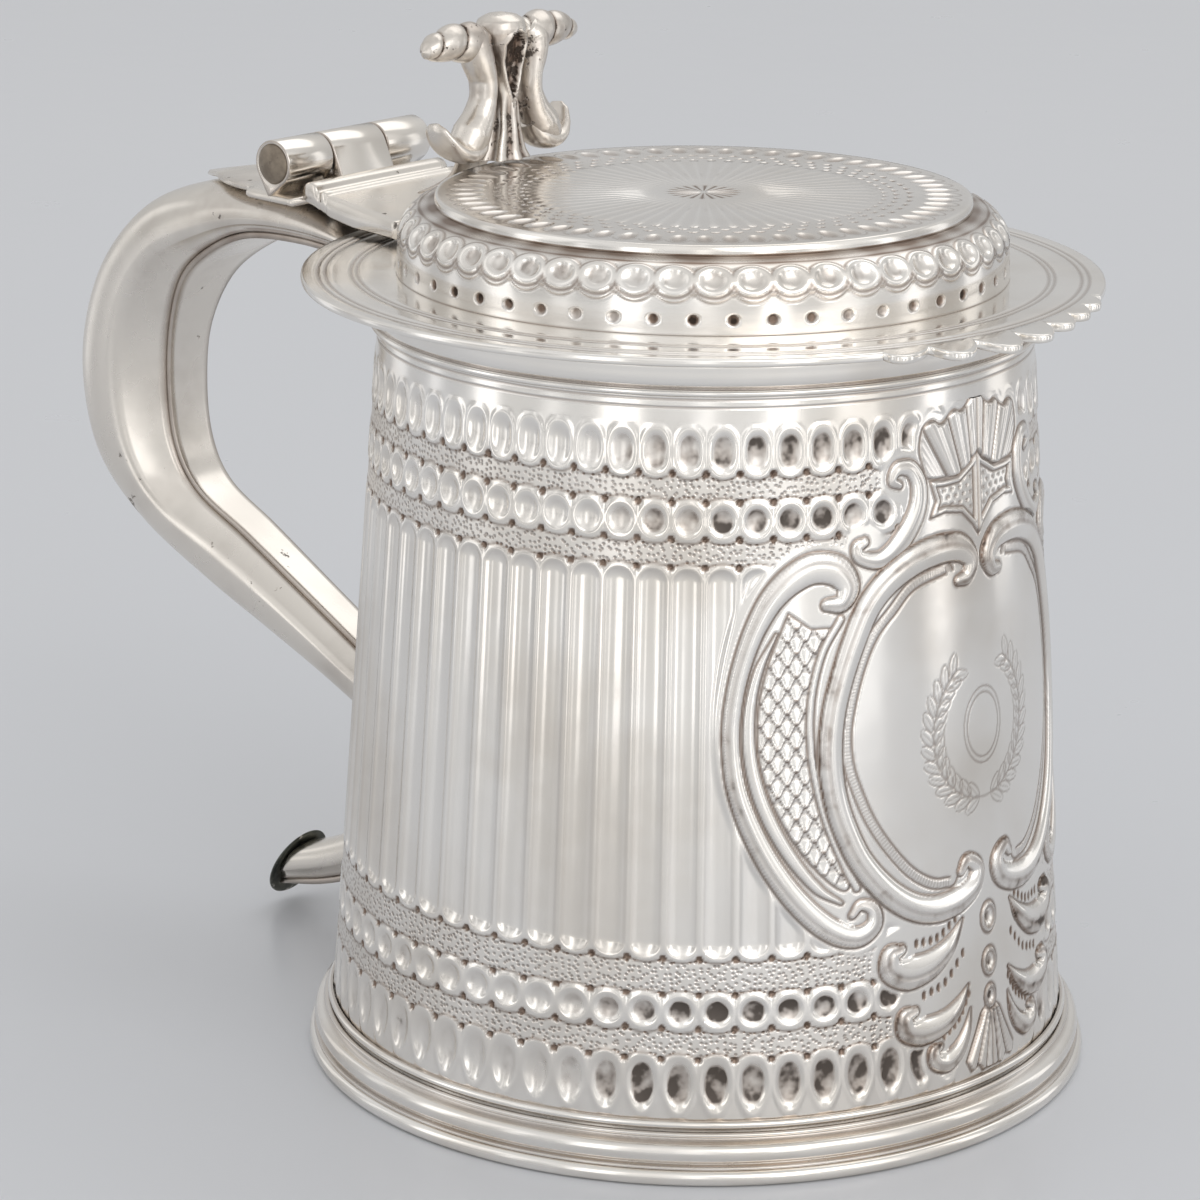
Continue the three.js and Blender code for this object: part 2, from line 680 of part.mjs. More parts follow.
const PIECES = {
  drum: [drum, POLISHED],
  base_disc: [baseDisc, WORN],
  foot_rim_wire: [footRimWire, POLISHED],
  foot_moulding: [footMoulding, POLISHED],
  foot_astragal_wire: [footAstragalWire, POLISHED],
  lip_moulding: [lipMoulding, POLISHED],
  handle_shell: [handleShell, WORN],
  handle_strap: [handleStrap, WORN],
  handle_tail_strap: [handleTailStrap, WORN],
  handle_terminal: [handleTerminal, DARK_TARNISH],
  handle_hinge_plate: [handleHingePlate, WORN],
  hinge_knuckle_near: [nearKnuckle, POLISHED],
  hinge_knuckle_far: [farKnuckle, POLISHED],
  hinge_pin: [hingePin, WORN],
  hinge_end_cap_near: [() => endCap(-1), DULL_CAP],
  hinge_end_cap_far: [() => endCap(1), DULL_CAP],
  lid_knuckle: [lidKnuckle, POLISHED],
  lid_hinge_plate: [lidHingePlate, WORN],
  lid_brim: [lidBrim, POLISHED],
  lid_band: [lidBand, POLISHED],
  lid_top_plate: [lidTopPlate, POLISHED],
  lid_bezel: [lidBezel, WORN],
  thumbpiece: [thumbpiece, CAST],
  thumbpiece_tongue: [thumbpieceTongue, CAST],
};

const tankard = new THREE.Group();
for (const [name, [shapeOf, materialOf]] of Object.entries(PIECES)) {
  const mesh = new THREE.Mesh(shapeOf(), materialOf());
  mesh.name = name;
  mesh.position.x = AXIS_X;
  tankard.add(mesh);
}

export default tankard;
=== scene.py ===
"""A lidded silver tankard: a chased drum on a moulded foot, a hollow scroll handle, a three-knuckle
hinge and a stepped lid with a serrated peak and a cast thumbpiece.

Shapes are worked out in millimetres about the drum's axis, with z = 0 under the foot, and are made
metres in the frame's place by skin().
"""
import math
import bpy
import numpy as np
from mathutils import Matrix, Vector


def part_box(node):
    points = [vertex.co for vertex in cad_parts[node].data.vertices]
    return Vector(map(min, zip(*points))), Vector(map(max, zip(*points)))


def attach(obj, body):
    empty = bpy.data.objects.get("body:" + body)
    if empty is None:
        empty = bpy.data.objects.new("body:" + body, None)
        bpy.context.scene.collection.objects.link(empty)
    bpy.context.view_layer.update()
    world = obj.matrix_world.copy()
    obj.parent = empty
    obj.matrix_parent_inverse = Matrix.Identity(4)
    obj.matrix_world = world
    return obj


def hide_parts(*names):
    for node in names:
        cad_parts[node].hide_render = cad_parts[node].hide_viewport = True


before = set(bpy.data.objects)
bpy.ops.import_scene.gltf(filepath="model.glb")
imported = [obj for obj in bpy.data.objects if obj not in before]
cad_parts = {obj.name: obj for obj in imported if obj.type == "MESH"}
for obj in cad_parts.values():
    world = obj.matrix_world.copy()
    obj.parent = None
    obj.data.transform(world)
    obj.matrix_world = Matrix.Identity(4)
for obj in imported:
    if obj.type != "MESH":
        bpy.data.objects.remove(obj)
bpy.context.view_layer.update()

# ---- sizes, from the frame and from the part's own drawing ---------------------------------------

MM = 0.001


def box_mm(node):
    """Lowest and highest corner of a CAD node as two arrays, in mm in the frame."""
    low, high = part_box(node)
    return np.array(low) / MM, np.array(high) / MM


DRUM_LOW, DRUM_HIGH = box_mm("drum")
AXIS_X = (DRUM_LOW[0] + DRUM_HIGH[0]) / 2
DRUM_TOP = DRUM_HIGH[2]
DRUM_BOTTOM = DRUM_LOW[2]
FOOT_R = box_mm("foot_rim_wire")[1][1]
LIP_R = box_mm("lip_moulding")[1][1]
BRIM_TOP = box_mm("lid_brim")[1][2]
PLATE_R = box_mm("lid_top_plate")[1][1]
PLATE_TOP = 154.2
LID_X = -0.8  # the lid sits a little towards the handle
BAND_R = 52.9
BAND_TOP = box_mm("lid_band")[1][2]
WALL = 1.4
TOUCH_GAP = 0.3  # between pieces that are soldered together
FOOT_TOP = 10.2
DRUM_LOW_R, DRUM_TAPER = 65.4, 0.0709
LIP_LOW, LIP_HIGH = 131.9, 137.6
HINGE_X, HINGE_Z = -85.7, 151.3
BARREL_R = 4.3
BARREL_HALF = 19.0
FULL_TURN = 2 * math.pi


def drum_radius(z):
    """The drum's plain outer radius, a cone that loses DRUM_TAPER mm for each mm of height."""
    return DRUM_LOW_R - DRUM_TAPER * (z - FOOT_TOP)


# ---- curves and masks ----------------------------------------------------------------------------

def smooth(low, high, x):
    """0 below low, 1 above high, and an S-shaped rise between them."""
    t = np.clip((x - low) / (high - low), 0, 1)
    return t * t * (3 - 2 * t)


def groove(distance, width):
    """1 on a line and 0 beyond width from it, falling as a rounded V."""
    return np.clip(1 - (distance / width) ** 2, 0, 1)


def through(points, steps=8):
    """A Catmull-Rom curve through the points, with so many steps from one to the next."""
    p = np.array(points, float)
    p = np.vstack([2 * p[0] - p[1], p, 2 * p[-1] - p[-2]])
    t = np.linspace(0, 1, steps, endpoint=False)[None, :, None]
    a, b, c, d = (p[i:len(p) - 3 + i, None, :] for i in range(4))
    bend = (2 * b + (c - a) * t + (2 * a - 5 * b + 4 * c - d) * t ** 2
            + (3 * b - a - 3 * c + d) * t ** 3) / 2
    return np.vstack([bend.reshape(-1, p.shape[1]), p[-2]])


def bead(low, high, root, bulge, steps=12):
    """Profile points [radius, z] of a half-round moulding between two heights."""
    a = np.linspace(0, math.pi, steps + 1)
    middle, half = (low + high) / 2, (high - low) / 2
    return np.stack([root + bulge * np.sin(a) ** 0.9, middle - half * np.cos(a)], -1)


def spaced(profile, gap):
    """The same profile with a point about every gap mm, and its corners kept."""
    rows = [profile[:1]]
    for start, end in zip(profile[:-1], profile[1:]):
        count = max(1, int(np.ceil(np.linalg.norm(end - start) / gap)))
        share = np.arange(1, count + 1)[:, None] / count
        rows.append(start + (end - start) * share)
    return np.vstack(rows)


# ---- pieces --------------------------------------------------------------------------------------

def revolved(radius, angle, z, axis_x=0.0):
    """Points at a radius, an angle and a height about the drum's axis, or about one at axis_x."""
    return np.stack([axis_x + radius * np.cos(angle), radius * np.sin(angle), z + 0 * angle], -1)


def skin(name, points, body, finish, node=None, around=False, along=False, inward=False, **marks):
    """A piece from a (rows, columns, 3) grid of points in mm about the drum's axis.

    It stands for a CAD node, which is the one with its own name when none is given. around joins the
    last column to the first, and along the last row to the first. A row that is all one point is a
    pole. The faces point away from the axis, or outwards on a closed surface, unless inward is set.
    marks are numbers from 0 to 1 at each point, which the finish reads by name.
    """
    rows, columns = points.shape[:2]
    place = points.reshape(-1, 3)
    index = np.arange(rows * columns).reshape(rows, columns)
    for row in (0, rows - 1):
        if np.allclose(points[row], points[row, 0], atol=1e-6):
            index[row] = index[row, 0]
    if along:
        index = np.vstack([index, index[:1]])
    if around:
        index = np.hstack([index, index[:, :1]])
    quads = np.stack([index[:-1, :-1], index[:-1, 1:], index[1:, 1:], index[1:, :-1]], -1).reshape(-1, 4)
    a, b, c, d = (place[quads[:, i]] for i in range(4))
    outward = np.einsum("ij,ij->", a + b + c + d, np.cross(c - a, d - b))
    if (outward < 0) != inward:
        quads = quads[:, ::-1]
    used, quads = np.unique(quads, return_inverse=True)
    quads = quads.reshape(-1, 4)
    top_pole = quads[:, 0] == quads[:, 1]
    low_pole = quads[:, 2] == quads[:, 3]
    triangles = np.vstack([quads[top_pole][:, 1:], quads[low_pole][:, :3]])
    quads = quads[~top_pole & ~low_pole]
    loops = np.concatenate([quads.ravel(), triangles.ravel()])
    starts = np.concatenate([np.arange(len(quads)) * 4, len(quads) * 4 + np.arange(len(triangles)) * 3])
    mesh = bpy.data.meshes.new(name)
    mesh.vertices.add(len(used))
    mesh.vertices.foreach_set("co", ((place[used] + [AXIS_X, 0, 0]) * MM).ravel())
    mesh.loops.add(len(loops))
    mesh.loops.foreach_set("vertex_index", loops.astype(np.int32))
    mesh.polygons.add(len(starts))
    mesh.polygons.foreach_set("loop_start", starts.astype(np.int32))
    mesh.update(calc_edges=True)
    mesh.shade_smooth()
    for mark, values in marks.items():
        layer = mesh.attributes.new(mark, "FLOAT", "POINT")
        spread = np.broadcast_to(values, (rows, columns)).reshape(-1)[used]
        layer.data.foreach_set("value", np.clip(spread, 0, 1).astype(np.float32))
    mesh.materials.append(finish)
    piece = bpy.data.objects.new(name, mesh)
    bpy.context.collection.objects.link(piece)
    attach(piece, body)
    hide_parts(node or name)


def turned(name, profile, body, finish, segments=288, closed=True, **marks):
    """A surface of revolution: a profile of [radius, z] carried round the drum's axis."""
    profile = np.asarray(profile, float)
    angle = np.arange(segments) * FULL_TURN / segments
    points = revolved(profile[:, :1], angle, profile[:, 1:])
    skin(name, points, body, finish, around=True, along=closed, **marks)


def with_ends(rings):
    """Adds a pole at each end of a tube of rings, at the ring's middle."""
    first = np.broadcast_to(rings[0].mean(0), rings[0].shape)
    last = np.broadcast_to(rings[-1].mean(0), rings[-1].shape)
    return np.concatenate([first[None], rings, last[None]])


def closed_tube(name, rings, body, finish, node=None, **marks):
    """A tube of rings that is closed by a pole at each end, where its marks are 0."""
    marks = {key: np.pad(value, ((1, 1), (0, 0))) if np.ndim(value) else value
             for key, value in marks.items()}
    skin(name, with_ends(rings), body, finish, node, around=True, **marks)


# ---- finishes ------------------------------------------------------------------------------------

class Wire:
    """A shader socket that takes part in sums: an expression on wires adds its Math nodes."""

    def __init__(self, tree, socket):
        self.tree, self.socket = tree, socket

    def math(self, operation, *values):
        return add(self.tree, "ShaderNodeMath", {"operation": operation}, *values)

    def __add__(self, other):
        return self.math("ADD", self, other)

    def __sub__(self, other):
        return self.math("SUBTRACT", self, other)

    def __rsub__(self, other):
        return self.math("SUBTRACT", other, self)

    def __mul__(self, other):
        return self.math("MULTIPLY", self, other)

    __radd__, __rmul__ = __add__, __mul__

    def rise(self, low, high):
        """0 below low and 1 above high, in a smooth step."""
        return add(self.tree, "ShaderNodeMapRange", {"interpolation_type": "SMOOTHSTEP"},
                   **{"Value": self, "From Min": low, "From Max": high})

    def capped(self):
        return add(self.tree, "ShaderNodeClamp", {}, self, 0.0, 1.0)


def add(tree, kind, settings, *values, output=0, **named):
    """Adds a node of a type: its settings come first, then the values or links of its sockets."""
    node = tree.nodes.new(kind)
    for key, value in settings.items():
        setattr(node, key, value)
    for key, value in [*enumerate(values), *named.items()]:
        feed(tree, node.inputs[key], value)
    return Wire(tree, node.outputs[output])


def feed(tree, socket, value):
    """Links a wire to a socket, or sets the socket to a number, a vector or a colour."""
    if isinstance(value, Wire):
        tree.links.new(value.socket, socket)
    elif socket.type == "RGBA":
        socket.default_value = (*value, 1)
    else:
        socket.default_value = value


def mark(tree, name):
    """One of the piece's own marks; it is 0 on a piece that has none by that name."""
    return add(tree, "ShaderNodeAttribute", {"attribute_name": name}, output="Fac")


def noise(tree, place, scale, detail=3.0, roughness=0.55):
    return add(tree, "ShaderNodeTexNoise", {}, Vector=place, Scale=scale, Detail=detail, Roughness=roughness)


def mixed(tree, share, start, end):
    """The colour start where share is 0 and end where it is 1."""
    mix = add(tree, "ShaderNodeMix", {"data_type": "RGBA"}, output=2)
    sockets = mix.socket.node.inputs
    for socket, value in ((sockets[0], share), (sockets[6], start), (sockets[7], end)):
        feed(tree, socket, value)
    return mix


def metal(name, build, metallic=1.0):
    """A metal whose colour, roughness and height in metres come from build(tree, place)."""
    finish = bpy.data.materials.new(name)
    finish["slot"] = name
    finish.use_nodes = True
    tree = finish.node_tree
    shader = tree.nodes["Principled BSDF"]
    shader.inputs["Metallic"].default_value = metallic
    place = add(tree, "ShaderNodeTexCoord", {}, output="Object")
    colour, roughness, height = build(tree, place)
    bump = add(tree, "ShaderNodeBump", {}, Strength=1.0, Distance=1.0, Height=height)
    for socket, wire in (("Base Color", colour), ("Roughness", roughness), ("Normal", bump)):
        tree.links.new(wire.socket, shader.inputs[socket])
    return finish


SILVER = (0.895, 0.87, 0.835)
SILVER_WARM = (0.80, 0.755, 0.695)
BROWN = (0.23, 0.17, 0.135)
BLACK_BROWN = (0.07, 0.055, 0.046)


def scratches(tree, place, across):
    """Very fine polishing scratches: noise stretched along one direction."""
    stretched = add(tree, "ShaderNodeMapping", {}, place, Scale=across)
    return noise(tree, stretched, 900.0, 2.0).rise(0.62, 0.74)


def unrolled(tree, place):
    """The drum's surface laid out flat: metres round it, and its height."""
    across, sideways, height = (add(tree, "ShaderNodeSeparateXYZ", {}, place, output=axis)
                                for axis in "XYZ")
    turn = sideways.math("ARCTAN2", sideways, across - AXIS_X * MM)
    return add(tree, "ShaderNodeCombineXYZ", {}, turn * 0.058, height, 0.0)


def polished(tree, place):
    """Bright silver: brown in the chased lines, patchy dark in the hollows, and punched matting. The line
    mark also carries painted shade under the lid plate. The hollows' even brown is painted shade,
    with tarnish patches over it.
    """
    line, hollow, matted = mark(tree, "line"), mark(tree, "hollow"), mark(tree, "matted")
    cloud = noise(tree, place, 28.0, 4.0)
    patch = noise(tree, place, 310.0, 2.5, 0.5)
    region = noise(tree, place, 22.0, 2.0)
    punches = add(tree, "ShaderNodeTexVoronoi", {"feature": "F1", "voronoi_dimensions": "2D"},
                  Vector=unrolled(tree, place), Scale=1080.0, Randomness=0.85)
    dots = (1 - punches.rise(0.1, 0.44)) * (0.45 + noise(tree, place, 260.0, 2.0))
    tarnish = hollow * 0.45 + patch + (region - 0.5) * 0.5
    stain = tarnish.rise(0.85, 1.02) * hollow.rise(0.05, 0.3)
    # Painted shade: the even 0.14 brown over every hollow darkens the dishes and scrolls as if shaded. The
    # tarnish patches on top are the metal's own.
    brown = (line + matted * (0.1 + dots * 0.5) + cloud.rise(0.45, 0.8) * 0.10
             + (0.14 + tarnish.rise(0.66, 0.9) * 0.42) * hollow.rise(0.05, 0.6)).capped()
    clean = mixed(tree, cloud.rise(0.35, 0.7), SILVER, SILVER_WARM)
    colour = mixed(tree, brown, clean, BROWN)
    colour = mixed(tree, (stain * 0.82).capped(), colour, BLACK_BROWN)
    smear = noise(tree, place, 75.0, 4.0)
    roughness = (0.15 + smear.rise(0.4, 0.75) * 0.08 + line * 0.2 + matted * 0.14 + stain * 0.3
                 + hollow * 0.22)
    ripple = noise(tree, place, 95.0, 1.0)
    height = (ripple * 0.00006 - dots * matted * 0.00013
              - scratches(tree, place, (1.0, 1.0, 0.06)) * 0.0000012)
    return colour, roughness, height


def worn(tree, place):
    """Handled silver: softer gloss, brown clouds, and small dark pits in patches."""
    line, hollow = mark(tree, "line"), mark(tree, "hollow")
    cloud = noise(tree, place, 24.0, 5.0, 0.6)
    spots = noise(tree, place, 330.0, 4.0, 0.65)
    where = noise(tree, place, 34.0, 2.0)
    pits = (spots + (where - 0.5) * 0.6).rise(0.71, 0.77)
    brown = (line + cloud.rise(0.5, 0.78) * 0.4 + hollow * 0.5).capped()
    colour = mixed(tree, brown, SILVER_WARM, BROWN)
    colour = mixed(tree, pits * 0.8, colour, BLACK_BROWN)
    roughness = 0.2 + noise(tree, place, 60.0, 4.0).rise(0.35, 0.75) * 0.14 + pits * 0.3 + line * 0.2
    height = (noise(tree, place, 60.0, 2.0) * 0.00016 - pits * 0.00008
              - scratches(tree, place, (0.1, 1.0, 1.0)) * 0.0000015)
    return colour, roughness, height


def cast(tree, place):
    """Cast silver: rounded and rubbed on the outside, pitted and brown in its hollows."""
    hollow = mark(tree, "hollow")
    cloud = noise(tree, place, 90.0, 5.0, 0.6)
    spots = noise(tree, place, 650.0, 4.0, 0.7)
    pits = (spots + hollow * 0.22 + (cloud - 0.5) * 0.35).rise(0.66, 0.76)
    brown = (0.1 + hollow * (0.35 + cloud.rise(0.35, 0.6) * 0.6) + cloud.rise(0.48, 0.7) * 0.4).capped()
    colour = mixed(tree, brown, SILVER_WARM, BROWN)
    colour = mixed(tree, pits * 0.85, colour, BLACK_BROWN)
    roughness = 0.24 + cloud.rise(0.3, 0.8) * 0.14 + hollow * 0.2 + pits * 0.2
    height = noise(tree, place, 240.0, 3.0) * 0.00022 - pits * 0.00012
    return colour, roughness, height


def dull(tree, place):
    """The taupe, matt metal of the pin's end caps."""
    cloud = noise(tree, place, 380.0, 4.0)
    colour = mixed(tree, cloud.rise(0.3, 0.75), (0.30, 0.25, 0.195), (0.185, 0.15, 0.115))
    colour = mixed(tree, noise(tree, place, 1400.0, 2.0).rise(0.66, 0.74) * 0.5, colour, BLACK_BROWN)
    roughness = 0.34 + cloud * 0.2
    return colour, roughness, noise(tree, place, 900.0, 3.0) * 0.00003


def blackened(tree, place):
    """Silver gone greenish black, a little rubbed."""
    cloud = noise(tree, place, 160.0, 5.0, 0.6)
    colour = mixed(tree, cloud.rise(0.35, 0.7), (0.035, 0.04, 0.034), (0.12, 0.12, 0.095))
    colour = mixed(tree, noise(tree, place, 500.0, 3.0).rise(0.62, 0.72) * 0.5, colour, SILVER_WARM)
    return colour, 0.26 + cloud * 0.25, noise(tree, place, 420.0, 3.0) * 0.00008


POLISHED = metal("polished_silver", polished)
WORN = metal("worn_silver", worn)
CAST = metal("cast_silver", cast)
DULL_CAP = metal("dull_cap", dull, metallic=0.55)
DARK_TARNISH = metal("dark_tarnish", blackened, metallic=0.75)

# ---- camera, light and floor ---------------------------------------------------------------------

TURN = math.radians(38.5)  # how far round from the front the camera stands


def make_camera():
    """A long lens at the front left of the object, looking a little down on it."""
    place = np.array([439.7, -552.8, 287.5]) + [AXIS_X, 0, 0]
    pitch, yaw, roll = 0.2842, -0.0253, 0.0076
    ahead = np.array([math.sin(yaw) * math.cos(pitch), math.cos(yaw) * math.cos(pitch), -math.sin(pitch)])
    right = np.array([math.cos(yaw), -math.sin(yaw), 0])
    above = np.cross(right, ahead)
    across = math.cos(roll) * right + math.sin(roll) * above
    upward = math.cos(roll) * above - math.sin(roll) * right
    turn = Matrix.Rotation(TURN, 3, "Z")
    axes = [turn @ Vector(v) for v in (across, upward, -ahead)]
    camera = bpy.data.objects.new("camera", bpy.data.cameras.new("camera"))
    camera.data.sensor_width = 36
    camera.data.lens = 124.9
    camera.data.clip_end = 30
    camera.matrix_world = Matrix.Translation(Vector(place * MM)) @ Matrix(axes).transposed().to_4x4()
    bpy.context.collection.objects.link(camera)
    bpy.context.scene.camera = camera


def around(azimuth, distance, height):
    """A place round the object: azimuth 0 is at the camera's side, and 90 to its right."""
    a = TURN - math.pi / 2 + math.radians(azimuth)
    return Vector((distance * math.cos(a), distance * math.sin(a), height))


def softbox(name, azimuth, distance, height, width, tall, power, aim=0.08, tint=(1, 1, 1)):
    """A soft rectangular light turned to the object."""
    light = bpy.data.lights.new(name, "AREA")
    light.shape, light.size, light.size_y = "RECTANGLE", width, tall
    light.energy, light.color = power, tint
    lamp = bpy.data.objects.new(name, light)
    lamp.location = around(azimuth, distance, height)
    lamp.rotation_mode = "QUATERNION"
    lamp.rotation_quaternion = (Vector((0, 0, aim)) - lamp.location).to_track_quat("-Z", "Y")
    lamp.visible_camera = False
    bpy.context.collection.objects.link(lamp)
    return lamp


# The azimuth in degrees and the height of each bright panel, where it fades out (1 is its middle),
# and its strength.
PANELS = [(-74, 0.6, 0.8, 0.1), (62, 0.45, 0.82, 0.26), (8, 0.3, 0.5, 0.28)]
BACKDROP = (0.575, 0.588, 0.615)


def make_world():
    """A pale tent: brighter overhead, with soft-edged panels at the left, the right and the front."""
    world = bpy.data.worlds.new("studio")
    bpy.context.scene.world = world
    world.use_nodes = True
    tree = world.node_tree
    look = add(tree, "ShaderNodeTexCoord", {}, output="Generated")
    upward = add(tree, "ShaderNodeSeparateXYZ", {}, look, output="Z")
    room = 0.54 + upward.rise(0.0, 0.8) * 0.2
    for azimuth, height, edge, strength in PANELS:
        toward = around(azimuth, 1, height).normalized()
        panel = add(tree, "ShaderNodeVectorMath", {"operation": "DOT_PRODUCT"}, look, tuple(toward),
                    output="Value")
        room = room + panel.rise(edge, 1.0) * strength
    seen = add(tree, "ShaderNodeLightPath", {}, output="Is Camera Ray")
    tone = mixed(tree, room.capped(), (0.0, 0.0, 0.0), (1.0, 1.0, 1.0))
    shade = mixed(tree, seen, tone, BACKDROP)
    tree.links.new(shade.socket, tree.nodes["Background"].inputs["Color"])


def make_floor():
    """A wide pale floor, glossy enough to hold a soft reflection, with painted light that makes it paler
    well in front.
    """
    finish = bpy.data.materials.new("pale_floor")
    finish.use_nodes = True
    tree = finish.node_tree
    shader = tree.nodes["Principled BSDF"]
    place = add(tree, "ShaderNodeTexCoord", {}, output="Object")
    cloud = noise(tree, place, 3.0, 2.0)
    near = mixed(tree, cloud, (0.60, 0.613, 0.642), (0.625, 0.637, 0.664))
    # Painted light: well in front the floor is painted paler. This stands in for light falling there, which
    # the silver reflects.
    ahead = add(tree, "ShaderNodeVectorMath", {"operation": "DOT_PRODUCT"}, place, tuple(around(-10, 1, 0)),
                output="Value")
    tone = mixed(tree, ahead.rise(0.05, 0.6), near, (0.80, 0.80, 0.795))
    tree.links.new(tone.socket, shader.inputs["Base Color"])
    grain = 0.26 + noise(tree, place, 40.0, 3.0) * 0.05
    tree.links.new(grain.socket, shader.inputs["Roughness"])
    shader.inputs["Specular IOR Level"].default_value = 0.5
    sides = 64
    angle = np.arange(sides) * FULL_TURN / sides
    rings = [revolved(radius, angle, 0.0) for radius in (0.4, 1.5, 6.0)]
    vertices = np.vstack([np.zeros((1, 3)), *rings])
    turns = [(i, (i + 1) % sides) for i in range(sides)]
    faces = [(0, 1 + i, 1 + j) for i, j in turns]
    for start in (1, 1 + sides):
        faces += [(start + i, start + sides + i, start + sides + j, start + j) for i, j in turns]
    mesh = bpy.data.meshes.new("floor")
    mesh.from_pydata(vertices.tolist(), [], faces)
    mesh.materials.append(finish)
    floor = bpy.data.objects.new("floor", mesh)
    bpy.context.collection.objects.link(floor)
    return floor


# The azimuth in degrees, the width in metres and the brightness of each card.
CARDS = [(-125, 0.12, 0.36), (-98, 0.06, 0.4), (-72, 0.1, 0.66), (-45, 0.05, 0.42), (-22, 0.1, 0.92),
         (4, 0.05, 0.5), (27, 0.075, 0.92), (50, 0.12, 0.46), (78, 0.08, 0.85), (110, 0.1, 0.6)]
CARD_TALL = 0.36
CARD_HEIGHT = 0.16


def make_cards(floor):
    """Upright cards that only show as reflections in the object, and not on the floor."""
    unlit = bpy.data.collections.new("not_lit_by_cards")
    unlit.objects.link(floor)
    unlit.collection_objects[0].light_linking.link_state = "EXCLUDE"
    for number, (azimuth, width, bright) in enumerate(CARDS):
        power = bright * math.pi * width * CARD_TALL
        card = softbox(f"card_{number}", azimuth, 0.5, CARD_HEIGHT, width, CARD_TALL, power,
                       aim=CARD_HEIGHT)
        card.visible_diffuse = False
        card.light_linking.receiver_collection = unlit


def make_studio():
    """The camera, the tent, the floor with its cards, and three large soft lights."""
    make_camera()
    make_world()
    make_cards(make_floor())
    softbox("key_front", 32, 1.7, 1.0, 1.4, 1.3, 6)
    softbox("fill_left", -72, 1.6, 0.8, 0.8, 1.3, 0.8)
    softbox("top", 150, 1.1, 1.9, 1.8, 1.4, 6, tint=(1.0, 0.995, 0.985))
    bpy.context.scene.view_settings.view_transform = "Standard"


# ---- the drum's rows of chasing ------------------------------------------------------------------

LOBES = 66
LOBE_PHASE = 0.15  # share of a lobe by which the rows are turned
# Each row's middle height, half height, half width in pitches, the half height of the ellipse that
# carries its scalloped lines, the power of its outline, depth, darkness, how much it narrows below,
# and the sides (-1 below, 1 above) that have a scalloped line and pellets.
ROWS = [
    (122.8, 3.2, 0.355, 4.5, 2.3, 0.62, 0.9, 0, (-1,)),
    (111.5, 2.35, 0.37, 3.8, 2.0, 0.6, 1.0, 0, (-1, 1)),
    (28.9, 2.25, 0.365, 3.65, 2.0, 0.6, 1.0, 0, (-1, 1)),
    (16.3, 4.2, 0.37, 5.5, 2.3, 0.62, 0.95, 0.22, (1,)),
]
SCALLOP = 0.78  # half width of the ellipse whose arcs make the scalloped lines, in lobe pitches
CUSP = math.sqrt(1 - (0.5 / SCALLOP) ** 2)  # where two arcs meet, as a share of the half height
STAINED_FROM, STAINED_TO = -62.0, -12.0  # degrees round the drum between which the hollows are darkest
FLUTE_LOW, FLUTE_HIGH = 38.3, 103.5
FLUTE_SHARE = 0.41
FLUTE_END, FLUTE_SCALLOP = 2.3, 3.25  # half heights of a flute's round end and of its scallop
PELLET_R = 0.62
MATTED_BANDS = ((103, 120), (19, 40))
NECK_LINES = (131.3, 130.0)


def across_lobe(angle, radius, count, phase):
    """(distance in mm from the middle of the nearest lobe, the lobes' pitch in mm)."""
    share = (angle / FULL_TURN * count - phase + 0.5) % 1 - 0.5
    pitch = FULL_TURN * radius / count
    return share * pitch, pitch


def dish(reach, depth, rim):
    """Height of a hollow with a raised rim, where reach is 0 in its middle and 1 at its edge."""
    hollow = -depth * np.clip(1 - reach ** 2.6, 0, 1) ** 1.2
    return hollow + rim * np.exp(-((reach - 1.22) / 0.19) ** 2)


